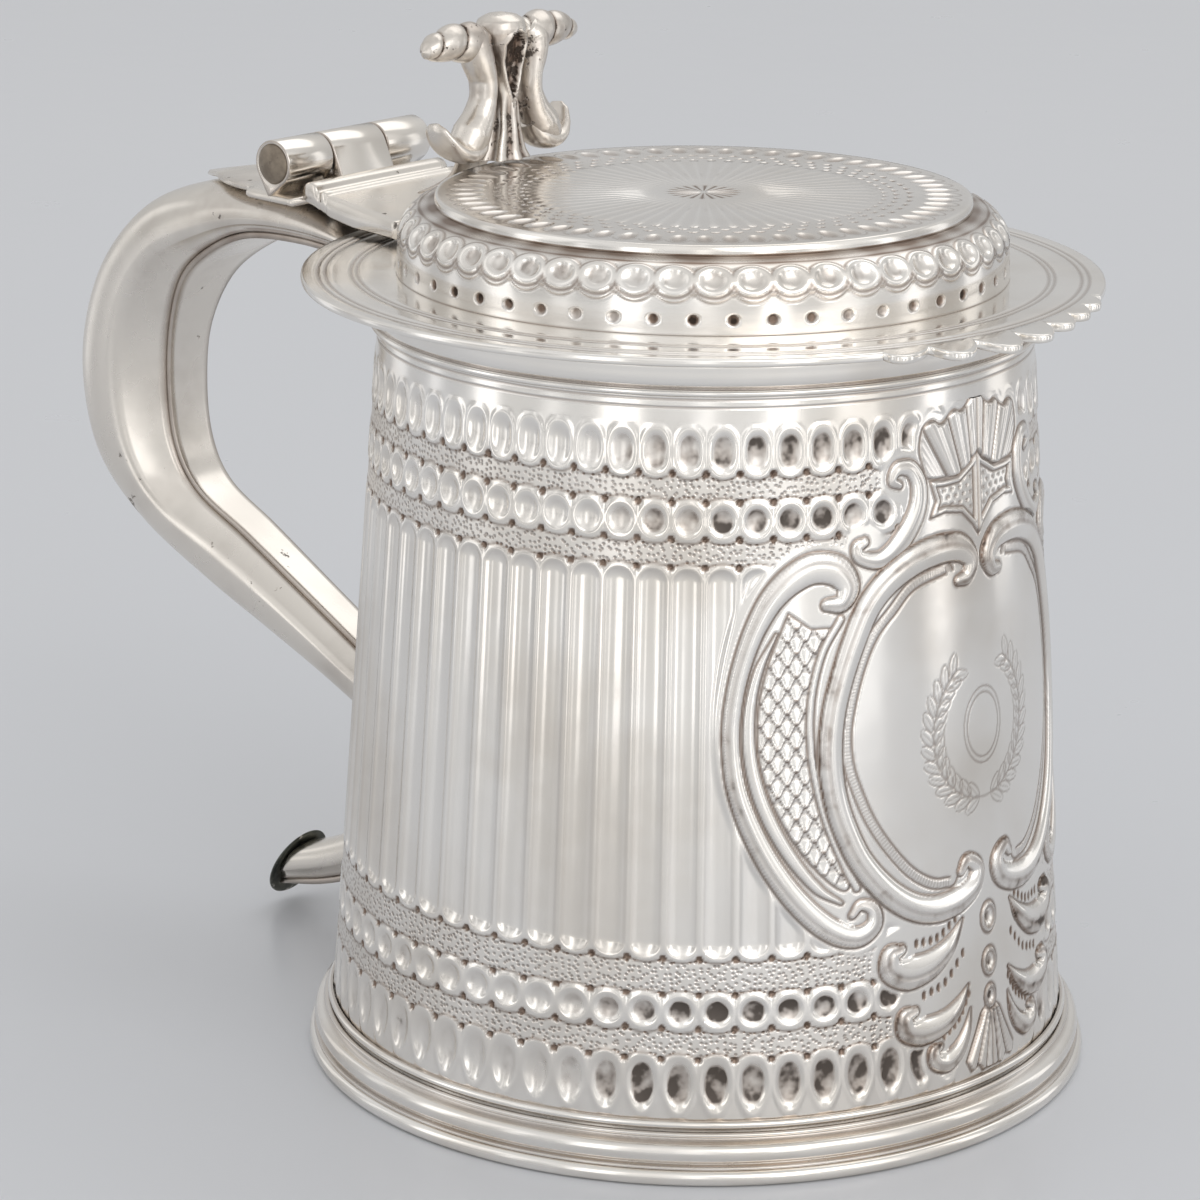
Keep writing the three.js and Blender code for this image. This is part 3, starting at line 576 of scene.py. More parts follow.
def chased_rows(angle, z):
    """Height in mm and marks of the drum's rows: ovals, two rows of round lobes, flutes and lobes.

    Each row is a hollow whose reach is an ellipse about its middle, repeated round the drum. A wider
    ellipse about it carries the scalloped line. What lies outside all the wide ellipses is matted.
    """
    radius = drum_radius(z)
    x, pitch = across_lobe(angle, radius, LOBES, LOBE_PHASE)
    height, line, hollow = np.zeros_like(z), np.zeros_like(z), np.zeros_like(z)
    plain = np.zeros_like(z, bool)
    cusp = pitch / 2 - np.abs(x)
    pellets = []
    turned_to = np.degrees((angle + math.pi) % FULL_TURN - math.pi)
    darkening = smooth(STAINED_FROM - 12, STAINED_FROM + 6, turned_to) * smooth(40, STAINED_TO, turned_to)
    for middle, half_high, share, scallop_high, fuller, depth, stain, narrows, sides in ROWS:
        up = z - middle
        narrowing = 1 - narrows * smooth(0, 4.5, -up)
        reach = (np.abs(x / (share * pitch * narrowing)) ** fuller
                 + np.abs(up / half_high) ** fuller) ** (1 / fuller)
        height += dish(reach, depth, 0.17)
        hollow = np.maximum(hollow, stain * (0.3 + 0.7 * darkening) * smooth(1.0, 0.7, reach))
        edge = np.hypot(x / (SCALLOP * pitch), up / scallop_high)
        plain |= edge < 1
        for side in sides:
            beside = smooth(0, 0.8, side * up)
            line = np.maximum(line, 0.65 * groove((edge - 1) * scallop_high, 0.3) * beside)
            pellets.append(middle + side * (scallop_high * CUSP + 0.1))
    end = np.abs(z - (FLUTE_LOW + FLUTE_HIGH) / 2) - (FLUTE_HIGH - FLUTE_LOW) / 2 + FLUTE_END
    end = np.maximum(end, 0)
    reach = np.hypot(x / (FLUTE_SHARE * pitch), end / FLUTE_END)
    height += 0.08 * np.exp(-((reach - 1.12) / 0.16) ** 2) - 0.55 * np.clip(1 - reach ** 2.6, 0, 1)
    hollow = np.maximum(hollow, 0.4 * smooth(1.0, 0.6, reach) * smooth(0.5, 2.2, end))
    line = np.maximum(line, 0.12 * groove((reach - 0.97) * FLUTE_SHARE * pitch, 0.35))
    edge = np.hypot(x / (SCALLOP * pitch), end / FLUTE_SCALLOP)
    plain |= edge < 1
    line = np.maximum(line, 0.65 * groove((edge - 1) * FLUTE_SCALLOP, 0.3) * smooth(0.2, 1.2, end))
    for flute_end, side in ((FLUTE_LOW, -1), (FLUTE_HIGH, 1)):
        pellets.append(flute_end + side * (FLUTE_SCALLOP * CUSP - FLUTE_END + 0.1))
    for pellet_z in pellets:
        pellet = np.hypot(cusp, z - pellet_z)
        height -= 0.3 * smooth(PELLET_R, PELLET_R * 0.4, pellet)
        line = np.maximum(line, 1.1 * smooth(PELLET_R * 1.25, PELLET_R * 0.85, pellet))
    banded = np.any([(z > low) & (z < high) for low, high in MATTED_BANDS], axis=0)
    matted = np.where(banded & ~plain, 1.0, 0.0)
    height -= 0.1 * line.clip(0, 1) + 0.06 * matted
    for neck_line in NECK_LINES:
        ring = groove(z - neck_line, 0.28)
        height -= 0.12 * ring
        line = np.maximum(line, 0.55 * ring)
    return height, line, hollow, matted


# ---- the drum's cartouche ------------------------------------------------------------------------
# Its drawing is in mm: s is the distance round the drum from the front at a radius of 61, and z the
# height. Only the half with negative s is drawn, and the other half mirrors it.

CARTOUCHE_R = 61.0
PANEL_HALF = 53.4

MAIN_ROLL = [(-5.9, 97.4), (-3.5, 97.9), (-2.6, 100.6), (-5.6, 103), (-11.5, 103.4), (-17, 102.2),
             (-22, 99.6), (-25.6, 96), (-28.3, 90.8), (-30.6, 84.8), (-32.2, 78.8), (-32.8, 72.4),
             (-32.2, 65.6), (-30.5, 59.6), (-27.5, 53.2), (-23, 47.6), (-18, 43.8), (-13, 42.2),
             (-8, 42.5), (-3.9, 44.3), (-2.8, 47.2), (-5.3, 49), (-6.9, 47.4)]
MAIN_WIDTH = [1.0, 1.5, 2.1, 2.5, 2.6, 2.6, 2.5, 2.4, 2.3, 2.2, 2.2, 2.2,
              2.2, 2.2, 2.2, 2.3, 2.4, 2.5, 2.5, 2.2, 1.6, 1.3, 0.9]
RESERVE = [(-8.9, 99.1), (-16, 97.6), (-20.3, 94), (-23.9, 90.4), (-26.4, 85.4), (-28.1, 79.7),
           (-28.9, 74.7), (-28.5, 69.7), (-27.1, 65.4), (-24.9, 60.4), (-21.7, 55.4), (-17.4, 50.4),
           (-13.1, 47.6), (-9.5, 47)]
LEAFY_ROLL = [(-33.4, 97), (-30.6, 97.2), (-29.4, 99.8), (-31.5, 102.6), (-35.6, 103.3), (-39.6, 101.6),
              (-43, 98.4), (-45.7, 93.8), (-47.6, 88.8), (-48.9, 83.6), (-49.6, 78), (-49.5, 72.4),
              (-48.6, 66.8), (-46.6, 61), (-43.6, 54.8), (-39.8, 49), (-35.6, 44.2), (-31.6, 41.2),
              (-27.9, 40.2), (-25.2, 41.8), (-25.2, 44.5), (-27.5, 45.6), (-29.1, 44)]
LEAFY_WIDTH = [1.1, 1.7, 2.3, 2.7, 2.7, 2.5, 2.2, 1.9, 1.7, 1.6, 1.6, 1.6,
               1.7, 1.8, 1.9, 2.0, 2.1, 2.1, 1.9, 1.6, 1.3, 1.0, 0.7]
INNER_LEAF = [(-42.2, 92.6), (-45, 87), (-46.5, 80.6), (-46.6, 73.6), (-45.3, 67), (-42.8, 60.6),
              (-39.2, 54.4), (-35, 49.2), (-31, 46.4)]
INNER_LEAF_WIDTH = [0.3, 0.8, 1.0, 1.15, 1.2, 1.2, 1.1, 0.9, 0.4]
SCALE_PANEL = [(-40.1, 96), (-43.2, 88.6), (-45, 81.2), (-45.2, 73.6), (-43.9, 67.4), (-41.4, 61.4),
               (-37.8, 55.4), (-33.6, 50.6), (-30.6, 48.4), (-29.2, 49.6), (-30.9, 52.9), (-33.9, 59.6),
               (-35.8, 66.4), (-36.8, 73.3), (-36.5, 81.1), (-34.6, 88), (-32, 92.6), (-36.2, 93.2)]
PANEL_RAIL = [(-30.8, 94.4), (-34.2, 88.9), (-36.1, 81.3), (-36.2, 73.3), (-35.1, 66.3), (-33.1, 59.3),
              (-30.1, 52.2), (-28.2, 48.6)]
S_SCROLL = [(-26.2, 106.8), (-27.7, 106), (-26.9, 104.3), (-23, 103.6), (-18.6, 106.4), (-15.4, 110.8),
            (-14.9, 114.9), (-16.6, 117.8), (-19.4, 118.2), (-20.6, 116.4), (-19, 115.4)]
S_SCROLL_WIDTH = [0.9, 1.2, 1.3, 1.6, 2.0, 2.0, 1.8, 1.5, 1.3, 1.0, 0.7]
KITE = [(0, 118.4), (-1.6, 116.9), (-5.3, 115), (-9, 114.9), (-12.4, 115.2), (-11, 111.6), (-12.4, 108.9),
        (-8.9, 109.4), (-4.6, 108.7), (-1.6, 106.2), (0, 104.2)]
PLUME = [(0, 129), (-1.3, 127.9), (-2.6, 126.6), (-4.4, 125.8), (-6.2, 126.2), (-8.2, 124.9),
         (-9.8, 124.4), (-11.6, 125.2), (-13.8, 124), (-14.6, 120.6), (-13.6, 117.2), (-12.6, 115.6),
         (-9, 115.2), (-5.3, 115.3), (-1.6, 117.2), (0, 118.6)]
LOW_FAN = [(0, 23), (-2.6, 21), (-4, 18), (-6.4, 13.4), (-5.4, 11.3), (-3.4, 12), (-2.6, 10.8),
           (0, 10.9)]
COMMAS = [
    ([(-20.2, 36.6), (-22, 36), (-21.6, 33.6), (-18.4, 32.2), (-14, 32.8), (-9.8, 35.4), (-6.7, 39)],
     [0.9, 1.6, 2.2, 2.5, 2.1, 1.3, 0.2]),
    ([(-17.6, 25.2), (-19.4, 24.6), (-18.9, 22.4), (-16, 21.4), (-11.8, 21.9), (-8.2, 24.1), (-5.6, 27)],
     [0.8, 1.4, 1.9, 2.1, 1.8, 1.1, 0.2]),
    ([(-12.4, 17.8), (-13.7, 17.2), (-13.1, 15.4), (-10.9, 14.8), (-8.4, 16.2), (-6.4, 19), (-5.2, 22.6)],
     [0.6, 1.1, 1.4, 1.6, 1.3, 0.8, 0.2]),
]
DOT_CHAINS = [
    [(-17, 37), (-12.6, 37.1), (-8.4, 39.4)],
    [(-15.6, 27.6), (-11, 28.9), (-6.8, 33)],
    [(-11.4, 19.4), (-8, 21.6), (-5.6, 25.4)],
]
AXIS_BEADS = [(37.6, 2.1, 2.85), (29.7, 1.95, 2.65), (23.4, 1.6, 2.3)]
TOP_SILHOUETTE = [(0, 129.6), (-2.6, 127.4), (-5, 126.8), (-9, 125.4), (-12, 126), (-15.2, 123.6),
                  (-15.6, 120.4), (-18.6, 120.6), (-21.8, 119), (-22.3, 116), (-20.4, 113.6),
                  (-18, 112), (-18.6, 108.4), (-21.6, 106.2), (-24.6, 108.8), (-28.2, 108.8),
                  (-29.6, 105.8), (-28.4, 102.4), (-20, 100), (0, 98)]
BODY_SILHOUETTE = [(0, 104), (-6, 105.9), (-11.7, 106.5), (-17.4, 105.3), (-22, 103.4), (-26, 102.8),
                   (-30, 105.6), (-34.6, 106.6), (-39.4, 105.4), (-43.9, 102.4), (-47.3, 98),
                   (-49.4, 92.6), (-50.8, 86.1), (-51.6, 79.7), (-51.5, 73), (-50.6, 67.2),
                   (-48.7, 61.3), (-45.8, 55), (-42, 48.9), (-37.6, 43.3), (-33.4, 39.6), (-28.4, 37.8),
                   (-23.8, 39.2), (-22.4, 42), (-13, 39), (-6, 40), (0, 44)]
LOW_SILHOUETTE = [(0, 44), (-8, 41.5), (-15, 39.5), (-21, 39.8), (-24.4, 37.4), (-24.6, 33.4),
                  (-21.6, 30.2), (-17.4, 29.2), (-19.8, 27.4), (-21.4, 24.2), (-20.4, 20.6),
                  (-16.6, 18.9), (-14.6, 19.4), (-15.4, 16.6), (-14.6, 13.9), (-11, 12.8), (-8, 13.8),
                  (-6, 10.2), (0, 10)]


def nearest(s, z, line):
    """For every place: its distance to a line of points, how far along the line it is, and its side."""
    best = np.full(s.shape, 1e9)
    travelled, side = np.zeros_like(best), np.ones_like(best)
    start_length = 0.0
    for (s0, z0), (s1, z1) in zip(line[:-1], line[1:]):
        ds, dz = s1 - s0, z1 - z0
        length = math.hypot(ds, dz)
        t = np.clip(((s - s0) * ds + (z - z0) * dz) / length ** 2, 0, 1)
        gap = np.hypot(s - s0 - t * ds, z - z0 - t * dz)
        closer = gap < best
        best = np.where(closer, gap, best)
        travelled = np.where(closer, start_length + t * length, travelled)
        side = np.where(closer, np.sign((s - s0) * dz - (z - z0) * ds), side)
        start_length += length
    return best, travelled, side


def inside(s, z, outline):
    """Distance inwards from a closed outline: positive inside it and negative outside."""
    ring = np.vstack([outline, outline[:1]])
    gap, _, _ = nearest(s, z, ring)
    crossings = np.zeros(s.shape, int)
    for (s0, z0), (s1, z1) in zip(ring[:-1], ring[1:]):
        if z0 == z1:
            continue
        spans = (z0 > z) != (z1 > z)
        crossings += spans & (s < s0 + (z - z0) / (z1 - z0) * (s1 - s0))
    return np.where(crossings % 2 == 1, gap, -gap)


ROLL_STEPS = 8


class Chasing:
    """The height in mm and the marks of a panel of the drum while its ornament is added to it."""

    def __init__(self, s, z, height, line, hollow, matted):
        self.s, self.z = s, z
        self.height, self.line, self.hollow, self.matted = height, line, hollow, matted

    def clear(self, mask):
        """Takes what is there back to plain metal where mask is 1."""
        for field in (self.height, self.line, self.hollow, self.matted):
            field *= 1 - mask

    def darken(self, share):
        """Makes the metal at least so brown."""
        self.line = np.maximum(self.line, share)

    def cut(self, distance, width=0.34, depth=0.14, dark=0.9):
        """An engraved line where distance is 0."""
        on_line = groove(distance, width)
        self.height -= depth * on_line
        self.darken(dark * on_line)

    def roll(self, route, widths, tall, crease=0.0, hatch=0.0, darkening=0.0):
        """A convex scroll along a route, outlined, with a crease along it and hatching across it. It
        can carry painted shade along its inner, shady side, in the hollow mark."""
        line = through(route, ROLL_STEPS)
        gap, travelled, side = nearest(self.s, self.z, line)
        lengths = np.concatenate([[0], np.cumsum(np.linalg.norm(np.diff(line, axis=0), axis=1))])
        half = np.interp(travelled, lengths[::ROLL_STEPS], widths)
        reach = gap / half
        within = reach < 1
        round_top = tall * np.clip(1 - reach ** 2, 0, 1) ** 0.7
        self.clear(smooth(1.12, 0.98, reach))
        self.height = np.where(within, round_top * np.minimum(half / 1.8, 1), self.height)
        if crease:
            ridge = groove((reach * side - 0.25) * half, 0.5)
            self.height -= crease * ridge * within
            self.darken(0.25 * ridge * within)
        # Painted shade: the hollow mark darkens the scroll's shady inner side.
        if darkening:
            self.hollow = np.maximum(self.hollow, darkening * smooth(-0.5, 0.3, reach * side) * within)
        if hatch:
            comb = 0.5 + 0.5 * np.cos(travelled * FULL_TURN / 0.62)
            over = smooth(0.2, 0.9, reach * side) * within
            self.height -= 0.05 * comb * over
            self.darken(hatch * comb * over)
        self.cut(gap - half)

    def scales(self, outline, wide=3.1, high=2.0):
        """Overlapping pointed scales inside an outline, each row half a scale aside from the next."""
        depth = inside(self.s, self.z, outline)
        self.clear(smooth(-0.3, 0.3, depth))
        row = np.floor(self.z / high)
        down = (row + 1) * high - self.z
        tips = []
        for step in (1, 0):
            shift = ((row + 1 + step) % 2) * 0.5
            x = (self.s / wide - shift) % 1 - 0.5
            tips.append(2.75 * (1 - np.abs(2 * x) ** 1.7) - down - step * high)
        upper, lower = tips
        top = np.where(upper > 0, upper, lower)
        body = np.where(top > 0, 0.3 * np.exp(-np.abs(top) / 0.8), -0.08)
        shade = np.where(top > 0, 0.0, 0.35) + 0.9 * groove(np.minimum(np.abs(upper), np.abs(lower)), 0.3)
        over = smooth(-0.1, 0.5, depth)
        self.height += body * over
        self.darken(shade * over * 0.9)
        self.cut(depth)


def beads_on_axis(work):
    """Oval beads one above another on the middle line: a sunk oval inside a raised rim."""
    for bead_z, half_wide, half_high in AXIS_BEADS:
        reach = np.hypot(work.s / half_wide, (work.z - bead_z) / half_high)
        work.clear(smooth(1.1, 1.0, reach))
        work.height += np.where(reach < 1, 0.3, 0) * smooth(1, 0.85, reach)
        work.height -= 0.75 * groove(reach, 0.62)
        work.cut((reach - 1) * half_wide)
        work.cut((reach - 0.64) * half_wide, dark=0.7)
        work.hollow = np.maximum(work.hollow, smooth(0.5, 0.2, reach))


def feathers(work, outline, centre, widths, upward=1):
    """A fan of feathers inside an outline: bulges between deep radial cuts, with fine rays on them."""
    depth = inside(work.s, work.z, outline)
    over = smooth(-0.1, 0.4, depth)
    work.clear(smooth(-0.3, 0.2, depth))
    turn = np.degrees(np.arctan2(np.abs(work.s - centre[0]), upward * (work.z - centre[1])))
    out = np.hypot(work.s - centre[0], work.z - centre[1])
    parts = np.searchsorted(widths, turn.ravel()).reshape(turn.shape)
    low = np.concatenate([[-widths[0]], widths])[np.minimum(parts, len(widths) - 1)]
    high = np.array(widths)[np.minimum(parts, len(widths) - 1)]
    share = (turn - low) / (high - low) * 2 - 1
    work.height += 0.55 * np.clip(1 - share ** 2, 0, 1) ** 0.6 * over
    cuts = groove((1 - np.abs(share)) * (high - low) / 2 * np.radians(1) * out, 0.3)
    rays = 0.5 + 0.5 * np.cos(turn * FULL_TURN / 2.4)
    work.height -= (0.2 * cuts + 0.06 * rays) * over
    work.darken((0.8 * cuts + 0.28 * rays) * over)
    work.cut(depth)


def wreath(work):
    """A plain engraved wreath on the reserve: paired leaves along a ring that is open at its top."""
    centre_z, radius, leaf = 71.5, 12.5, 4.2
    gap = np.hypot(work.s, work.z - centre_z) - radius
    turn = np.degrees(np.arctan2(-work.s, centre_z - work.z))
    stem = np.where((turn > -1) & (turn < 150), np.abs(gap), 9.0)
    work.cut(stem, 0.22, 0.05, 0.55)
    for k in range(13):
        base = math.radians(8 + k * 11)
        for side in (-1, 1):
            lean = base + side * math.radians(38)
            foot_s = -radius * math.sin(base)
            foot_z = centre_z - radius * math.cos(base)
            direction = (-math.cos(lean), math.sin(lean))
            along = (work.s - foot_s) * direction[0] + (work.z - foot_z) * direction[1]
            aside = (work.s - foot_s) * direction[1] - (work.z - foot_z) * direction[0]
            half = 0.95 * np.sqrt(np.clip(np.sin(np.clip(along / leaf, 0, 1) * math.pi), 0, 1))
            on_leaf = (along > 0) & (along < leaf)
            edge = np.where(on_leaf, np.abs(np.abs(aside) - half), 9.0)
            rib = np.where(on_leaf & (along < leaf - 0.8), np.abs(aside), 9.0)
            work.cut(edge, 0.2, 0.05, 0.6)
            work.cut(rib, 0.16, 0.03, 0.4)
    oval = np.hypot(work.s / 5.2, (work.z - centre_z) / 6.6)
    for reach in (1.0, 0.84):
        work.cut((oval - reach) * 5.2, 0.22, 0.05, 0.6)


def cartouche(angle, z):
    """Height and marks of the drum's front: the rows, cleared where the scrolls and panels lie."""
    s = -np.abs(angle * CARTOUCHE_R)
    work = Chasing(s, z, *chased_rows(angle, z))
    silhouettes = [through(points, 5) for points in (TOP_SILHOUETTE, BODY_SILHOUETTE, LOW_SILHOUETTE)]
    body = np.maximum.reduce([inside(s, z, outline) for outline in silhouettes])
    work.clear(smooth(-1.5, -0.2, body))
    feathers(work, through(PLUME, 6), (0, 103), [6.5, 19, 33])
    feathers(work, np.array(LOW_FAN, float), (0, 25), [7, 17, 28], upward=-1)
    kite = through(KITE, 1)
    depth = inside(s, z, kite)
    work.clear(smooth(-0.2, 0.2, depth))
    row_high, dash_apart = 1.25, 2.0
    stagger = (np.floor(z / row_high) % 2) * 0.5
    dash_s = ((s / dash_apart + stagger) % 1 - 0.5) * dash_apart
    dash_z = ((z / row_high) % 1 - 0.5) * row_high
    dashes = groove(np.hypot(dash_s / 0.6, dash_z / 0.34), 1.0) * smooth(1.1, 1.4, depth)
    work.darken(0.75 * dashes)
    work.height -= 0.16 * dashes
    work.height += 0.3 * groove(depth - 0.5, 0.55)
    work.cut(depth)
    work.cut(depth - 1.1)
    work.scales(through(SCALE_PANEL, 5))
    work.roll(PANEL_RAIL, [0.7] * len(PANEL_RAIL), 0.4)
    work.roll(LEAFY_ROLL, LEAFY_WIDTH, 0.75, crease=0.12, hatch=0.3, darkening=0.3)
    work.roll(INNER_LEAF, INNER_LEAF_WIDTH, 0.5)
    work.roll(S_SCROLL, S_SCROLL_WIDTH, 0.75, crease=0.12)
    for route, widths in COMMAS:
        work.roll(route, [1.25 * w for w in widths], 1.0, crease=0.2, darkening=0.55)
    for chain in DOT_CHAINS:
        for dot_s, dot_z in through(chain, 3):
            spot = np.hypot((s - dot_s) / 0.5, (z - dot_z) / 0.95)
            work.height -= 0.25 * groove(spot, 1.0)
            work.darken(1.1 * smooth(1.1, 0.7, spot))
    gap, travelled, side = nearest(s, z, through(RESERVE, 6))
    band = (side > 0) & (gap < 1.8)
    comb = 0.5 + 0.5 * np.cos(travelled * FULL_TURN / 0.6)
    work.height -= 0.05 * comb * band
    work.darken(0.42 * comb * band * smooth(1.8, 1.2, gap))
    work.cut(gap)
    work.cut(np.where(side > 0, gap - 1.8, 9.0))
    work.roll(MAIN_ROLL, MAIN_WIDTH, 1.05, crease=0.12, darkening=0.45)
    beads_on_axis(work)
    wreath(work)
    return work.height, work.line, work.hollow, work.matted


def drum_sheet(name, relief, angles, heights, whole=False):
    """A stretch of the drum's wall: the cone's radius plus a relief of angle and height."""
    angle, z = np.meshgrid(angles, heights)
    height, line, hollow, matted = relief(angle, z)
    points = revolved(drum_radius(z) + height, angle, z)
    skin(name, points, "tankard", POLISHED, "drum", around=whole, line=line, hollow=hollow,
         matted=matted)


def make_drum():
    """The wall in stretches that meet edge to edge, and the rim with the plain inside."""
    low, high = FOOT_TOP - 0.4, 127.4
    flute_low, flute_high = FLUTE_LOW + 4.0, FLUTE_HIGH - 4.0
    edge = PANEL_HALF / CARTOUCHE_R
    back = np.linspace(edge, FULL_TURN - edge, 900)
    drum_sheet("drum_upper_rows", chased_rows, back, np.linspace(flute_high, high, 78))
    drum_sheet("drum_flutes", chased_rows, back, np.linspace(flute_low, flute_high, 14))
    drum_sheet("drum_lower_rows", chased_rows, back, np.linspace(low, flute_low, 94))
    rows = np.linspace(low, high, 430)
    drum_sheet("drum_cartouche_left", cartouche, np.linspace(-edge, 0, 196), rows)
    drum_sheet("drum_cartouche_right", cartouche, np.linspace(0, edge, 196), rows)
    drum_sheet("drum_neck", chased_rows, np.arange(360) * FULL_TURN / 360,
               np.linspace(high, LIP_LOW + 0.6, 40), whole=True)
    inner = WALL - 0.1
    rim = [(drum_radius(LIP_LOW + 0.6), LIP_LOW + 0.6), (drum_radius(DRUM_TOP) - 0.02, DRUM_TOP - 0.35),
           (drum_radius(DRUM_TOP) - 0.35, DRUM_TOP), (drum_radius(DRUM_TOP) - inner + 0.3, DRUM_TOP),
           (drum_radius(DRUM_TOP) - inner, DRUM_TOP - 0.35), (drum_radius(70) - inner, 70),
           (drum_radius(DRUM_BOTTOM) - inner, DRUM_BOTTOM), (drum_radius(DRUM_BOTTOM), DRUM_BOTTOM),
           (drum_radius(low), low)]
    profile = spaced(np.array(rim), 4.0)
    angle = np.arange(288) * FULL_TURN / 288
    points = revolved(profile[:, :1], angle, profile[:, 1:])
    skin("drum_rim_and_inside", points, "tankard", POLISHED, "drum", around=True, inward=True)


# ---- foot, base and lip --------------------------------------------------------------------------

def make_foot():
    """Three turned wires and mouldings that are soldered round the drum's lower end."""
    rim = np.vstack([[(drum_radius(0) + TOUCH_GAP, 0), (FOOT_R - 1.1, 0)],
                     bead(0.05, 2.65, FOOT_R - 1.1, 1.1)[1:-1],
                     [(FOOT_R - 1.1, 2.7), (drum_radius(2.7) + TOUCH_GAP, 2.7)]])
    turned("foot_rim_wire", rim, "tankard", POLISHED)
    moulding = np.vstack([
        [(drum_radius(3) + TOUCH_GAP, 2.72)],
        bead(2.72, 3.3, FOOT_R - 1.2, 0.35, 6),
        [(FOOT_R - 1.6, 3.4)],
        bead(3.5, 6.9, FOOT_R - 2.3, 1.3),
        [(FOOT_R - 2.8, 7.1), (FOOT_R - 3.3, 7.4), (FOOT_R - 3.4, 7.75)],
        bead(7.8, 8.6, FOOT_R - 3.3, 0.6, 6),
        [(drum_radius(8.6) + TOUCH_GAP, 8.6)],
    ])
    crease = np.interp(moulding[:, 1], [2.7, 3.3, 3.45, 3.7, 6.9, 7.2, 7.8, 8.0, 8.6],
                       [0.2, 0.4, 0.4, 0.0, 0.05, 0.4, 0.4, 0.0, 0.3])[:, None]
    turned("foot_moulding", moulding, "tankard", POLISHED, line=crease)
    wire = np.vstack([[(drum_radius(8.9) + TOUCH_GAP, 8.9)], bead(8.9, 10.3, FOOT_R - 4.2, 0.8),
                      [(drum_radius(10.3) + TOUCH_GAP, 10.3)]])
    edge = np.where(np.abs(wire[:, 1] - 9.6) > 0.62, 0.45, 0.0)[:, None]
    turned("foot_astragal_wire", wire, "tankard", POLISHED, line=edge)


def make_base():
    """The disc soldered inside the drum, a little domed."""
    rim = drum_radius(6.6) - WALL - 0.25
    share = np.linspace(0, 1, 24)
    dome = 2.2 * np.cos(share * math.pi / 2) ** 1.3
    under = np.stack([rim * share, 5.2 + dome], -1)
    over = np.stack([rim * share[::-1], 5.2 + WALL + dome[::-1]], -1)
    profile = np.vstack([under, over])
    turned("base_disc", profile, "tankard", WORN, segments=192, closed=False)


def make_lip():
    """The bead and the smooth band round the mouth."""
    profile = np.vstack([
        [(drum_radius(LIP_LOW) + TOUCH_GAP, LIP_LOW)],
        bead(LIP_LOW, 133.2, LIP_R - 1.5, 0.8, 8),
        [(LIP_R - 1.45, 133.3)],
        through([(LIP_R - 1.3, 133.4), (LIP_R - 0.6, 134.0), (LIP_R - 0.25, 135.0), (LIP_R - 0.1, 136.2),
                 (LIP_R, 137.2), (LIP_R - 0.2, LIP_HIGH)]),
        [(drum_radius(LIP_HIGH) + TOUCH_GAP, LIP_HIGH)],
    ])
    near_crease = np.minimum(np.abs(profile[:, 1] - 133.3), np.abs(profile[:, 1] - LIP_LOW))
    turned("lip_moulding", profile, "tankard", POLISHED,
           line=(0.5 * groove(near_crease, 0.3))[:, None])


# ---- lid -----------------------------------------------------------------------------------------

BRIM_R = 69.3
NOTCH_R = 67.8
# Each tooth's starting angle in degrees and its greatest radius.
PEAK_TEETH = [(-26.7, 72.6), (-19.3, 75.0), (-11.6, 75.65), (-4.0, 74.0), (4.0, 72.2), (11.0, 71.2),
              (17.6, 70.6)]
PEAK_END = 24.0
BAND_LOBES = 51
BAND_LOBES_UP, BAND_PELLETS_UP, BAND_DOTS_UP = 9.2, 7.2, 2.6  # lengths along the band's profile
GROOVES = (59.6, 60.6, 65.2, 66.5)


def brim_radius(degrees):
    """The brim's outline: a circle whose front swells into skewed teeth. From one notch to the next
    a tooth follows sin(pi * sqrt(share)) to the power 0.7, so it rises steeply and falls slowly."""
    radius = np.full_like(degrees, BRIM_R)
    ends = [start for start, _ in PEAK_TEETH[1:]] + [PEAK_END]
    for (start, tip), end in zip(PEAK_TEETH, ends):
        share = np.clip((degrees - start) / (end - start), 0, 1)
        tooth = NOTCH_R + (tip - NOTCH_R) * np.sin(math.pi * share ** 0.5).clip(0) ** 0.7
        radius = np.where((degrees >= start) & (degrees < end), tooth, radius)
    return radius


def make_brim():
    """A flat ring: its outer edge follows brim_radius, and turned grooves run round its top."""
    on_peak = np.linspace(PEAK_TEETH[0][0] - 1, PEAK_END + 1, 420)
    off_peak = np.linspace(PEAK_END + 1, 360 + PEAK_TEETH[0][0] - 1, 620)[1:-1]
    degrees = np.concatenate([on_peak, off_peak])
    angle = np.radians(degrees)
    edge = brim_radius(degrees)
    inner = BAND_R - WALL
    flat_r, thick = 67.0, 1.45
    fixed = np.unique(np.concatenate([np.linspace(inner, flat_r, 10),
                                      *[g + np.array([-0.5, -0.25, 0, 0.25, 0.5]) for g in GROOVES]]))
    tops = [np.full((1, angle.size), r) for r in fixed]
    tops += [flat_r + (edge[None, :] - 0.4 - flat_r) * share for share in (0.3, 0.6, 0.85, 1.0)]
    top_radius = np.vstack(tops)
    top_z = np.full_like(top_radius, BRIM_TOP)
    cutting = np.zeros_like(top_radius)
    for g in GROOVES:
        cutting = np.maximum(cutting, groove(top_radius - g, 0.4))
    top_z -= 0.16 * cutting
    edge_radius = np.vstack([edge - 0.12, edge, edge, edge - 0.12, edge - 0.4])
    edge_z = BRIM_TOP - np.array([0.1, 0.45, thick - 0.4, thick - 0.12, thick])[:, None] + 0 * edge_radius
    under_radius = np.vstack([np.full(angle.size, r) for r in (66.0, 60.0, inner)])
    under_z = np.full_like(under_radius, BRIM_TOP - thick)
    radius = np.vstack([top_radius, edge_radius, under_radius])
    z = np.vstack([top_z, edge_z, under_z])
    line = np.zeros_like(radius)
    line[:len(top_radius)] = 0.55 * cutting
    skin("lid_brim", revolved(radius, angle, z, LID_X), "lid", POLISHED, around=True,
         along=True, line=line)


